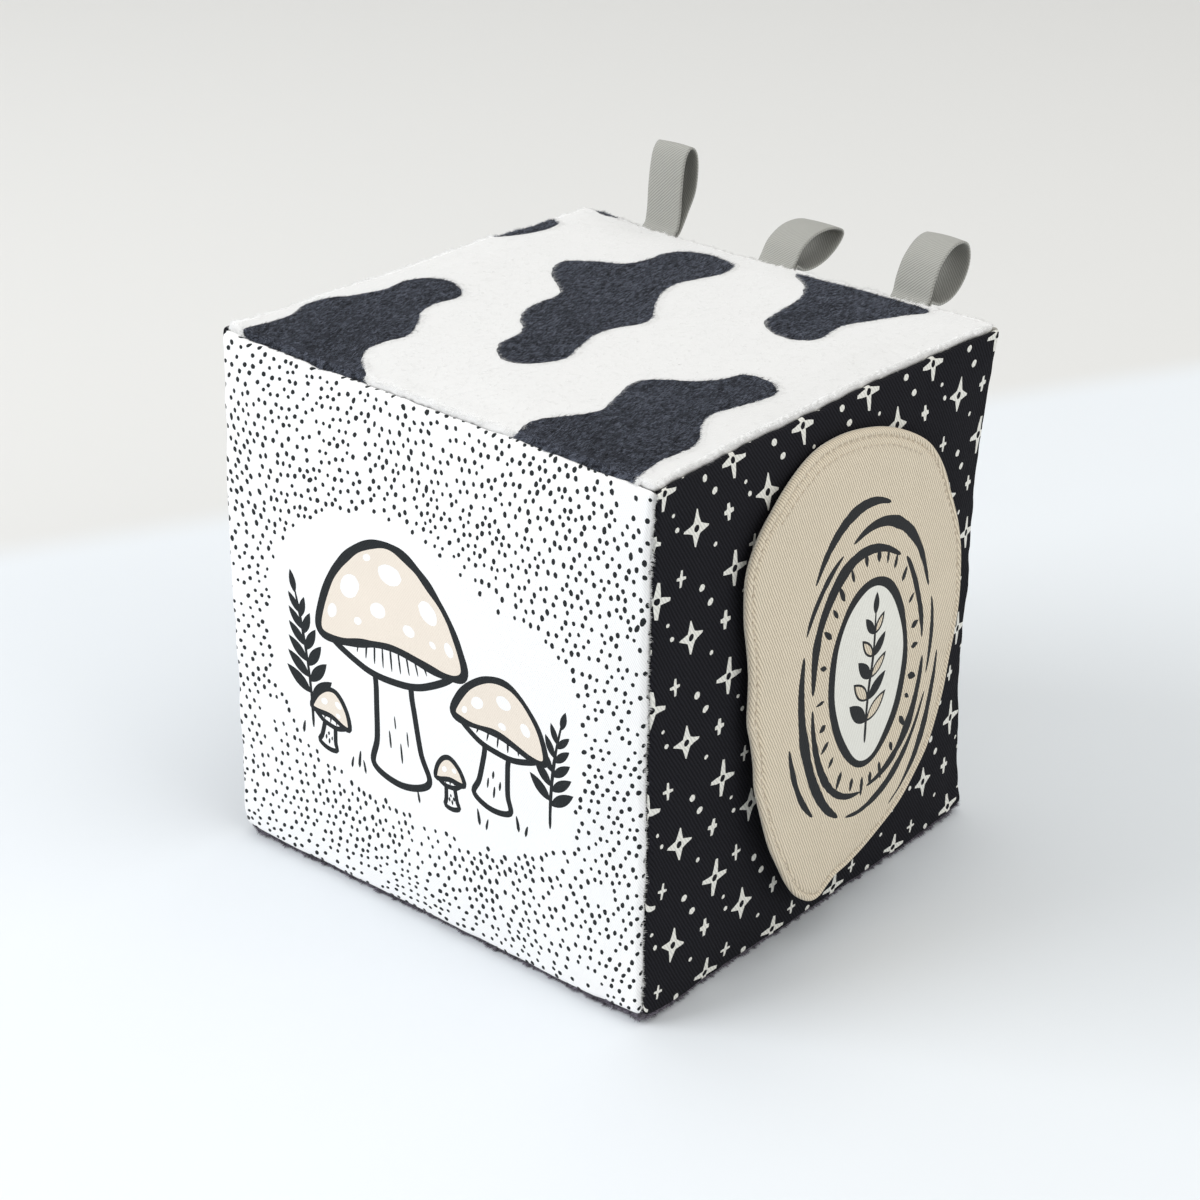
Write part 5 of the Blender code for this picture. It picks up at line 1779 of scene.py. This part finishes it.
# ----------------------------------------------------------- floor and light
def stage():
    n = 60
    rows = []
    for i in range(n + 1):
        t = i / n
        if t < 0.62:
            y, z = -2.2 + (t / 0.62) * 3.9, 0.0
        else:
            k = (t - 0.62) / 0.38
            a = min(k / 0.45, 1.0) * math.pi / 2
            y, z = 1.7 + 0.9 * math.sin(a), 0.9 * (1 - math.cos(a)) + max(0.0, k - 0.45) / 0.55 * 2.2
        rows.append((y, z))
    verts, tris = [], []
    for y, z in rows:
        verts += [(-3.2, y, z - 0.00002), (3.2, y, z - 0.00002)]
    for i in range(n):
        a = 2 * i
        tris += [(a, a + 1, a + 3), (a, a + 3, a + 2)]
    v = np.array(verts)
    c, s = math.cos(math.radians(40)), math.sin(math.radians(40))
    v = np.column_stack([v[:, 0] * c - v[:, 1] * s, v[:, 0] * s + v[:, 1] * c, v[:, 2]])
    m, t, p = new_material("pale_floor")
    co = nd(t, "ShaderNodeTexCoord")
    sep = nd(t, "ShaderNodeSeparateXYZ")
    t.links.new(co.outputs["Object"], sep.inputs[0])
    # a table top, and a warmer grey beyond its soft edge
    a = math.radians(153.3)
    far = math_node(
        t, "ADD", math_node(t, "MULTIPLY", sep.outputs[0], math.cos(a)), math_node(t, "MULTIPLY", sep.outputs[1], math.sin(a))
    )
    ramp = nd(t, "ShaderNodeMapRange", interpolation_type="SMOOTHSTEP")
    ramp.inputs["From Min"].default_value = 0.234
    ramp.inputs["From Max"].default_value = 0.264
    t.links.new(far, ramp.inputs["Value"])
    grain = noise_node(t, co.outputs["Object"], 3.0, 3.0)
    near = mix_colour(t, grain, linear(229, 234, 239), linear(232, 236, 241))
    t.links.new(mix_colour(t, ramp.outputs[0], near, linear(224, 224, 223)), p.inputs["Base Color"])
    p.inputs["Roughness"].default_value = 0.75
    p.inputs["Specular IOR Level"].default_value = 0.2
    ob = mesh_of("floor", v, np.array(tris), None, [m])
    return ob


stage()


def area_light(name, place, aim, size, power, colour):
    data = bpy.data.lights.new(name, "AREA")
    data.shape = "RECTANGLE"
    data.size, data.size_y = size
    data.energy = power
    data.color = colour
    ob = bpy.data.objects.new(name, data)
    ob.location = place
    ob.rotation_mode = "QUATERNION"
    ob.rotation_quaternion = (Vector(aim) - Vector(place)).to_track_quat("-Z", "Y")
    bpy.context.scene.collection.objects.link(ob)
    return ob


area_light("window", (-1.1, -1.3, 1.1), (0, 0, 0.07), (1.3, 1.2), 24.6, (0.97, 0.985, 1.0))
area_light("fill", (1.5, 0.1, 0.9), (0, 0, 0.08), (1.2, 1.0), 5.0, (1.0, 0.985, 0.93))
area_light("above", (0.1, 0.5, 1.7), (0, 0, 0.1), (1.5, 1.5), 7.0, (1.0, 0.995, 0.98))

world = bpy.data.worlds.new("studio")
bpy.context.scene.world = world
world.use_nodes = True
bg = world.node_tree.nodes["Background"]
bg.inputs["Color"].default_value = (1.0, 0.995, 0.97, 1.0)
bg.inputs["Strength"].default_value = 0.66

bpy.context.scene.view_settings.view_transform = "Standard"

# -------------------------------------------------------------------- camera
AZ, EL, ROLL = math.radians(40.004), math.radians(26.402), math.radians(0.834)
TX, TY, DIST = 0.02306, 0.03014, 5.19587
S = SIDE
back_way = Vector((math.sin(AZ) * math.cos(EL), -math.cos(AZ) * math.cos(EL), math.sin(EL)))
right_way = Vector((math.cos(AZ), math.sin(AZ), 0))
up_way = back_way.cross(right_way)
r2 = right_way * math.cos(ROLL) + up_way * math.sin(ROLL)
u2 = up_way * math.cos(ROLL) - right_way * math.sin(ROLL)
camera = bpy.data.objects.new("camera", bpy.data.cameras.new("camera"))
bpy.context.scene.collection.objects.link(camera)
centre = Vector((0, 0, 0.515 * S + 0.001))
spot = centre - r2 * TX * S - u2 * TY * S + back_way * DIST * S
turn = Matrix((r2, u2, back_way)).transposed()
camera.matrix_world = Matrix.Translation(spot) @ turn.to_4x4()
camera.data.lens = 82.06
camera.data.sensor_width = 36.0
camera.data.clip_start, camera.data.clip_end = 0.01, 50
bpy.context.scene.camera = camera
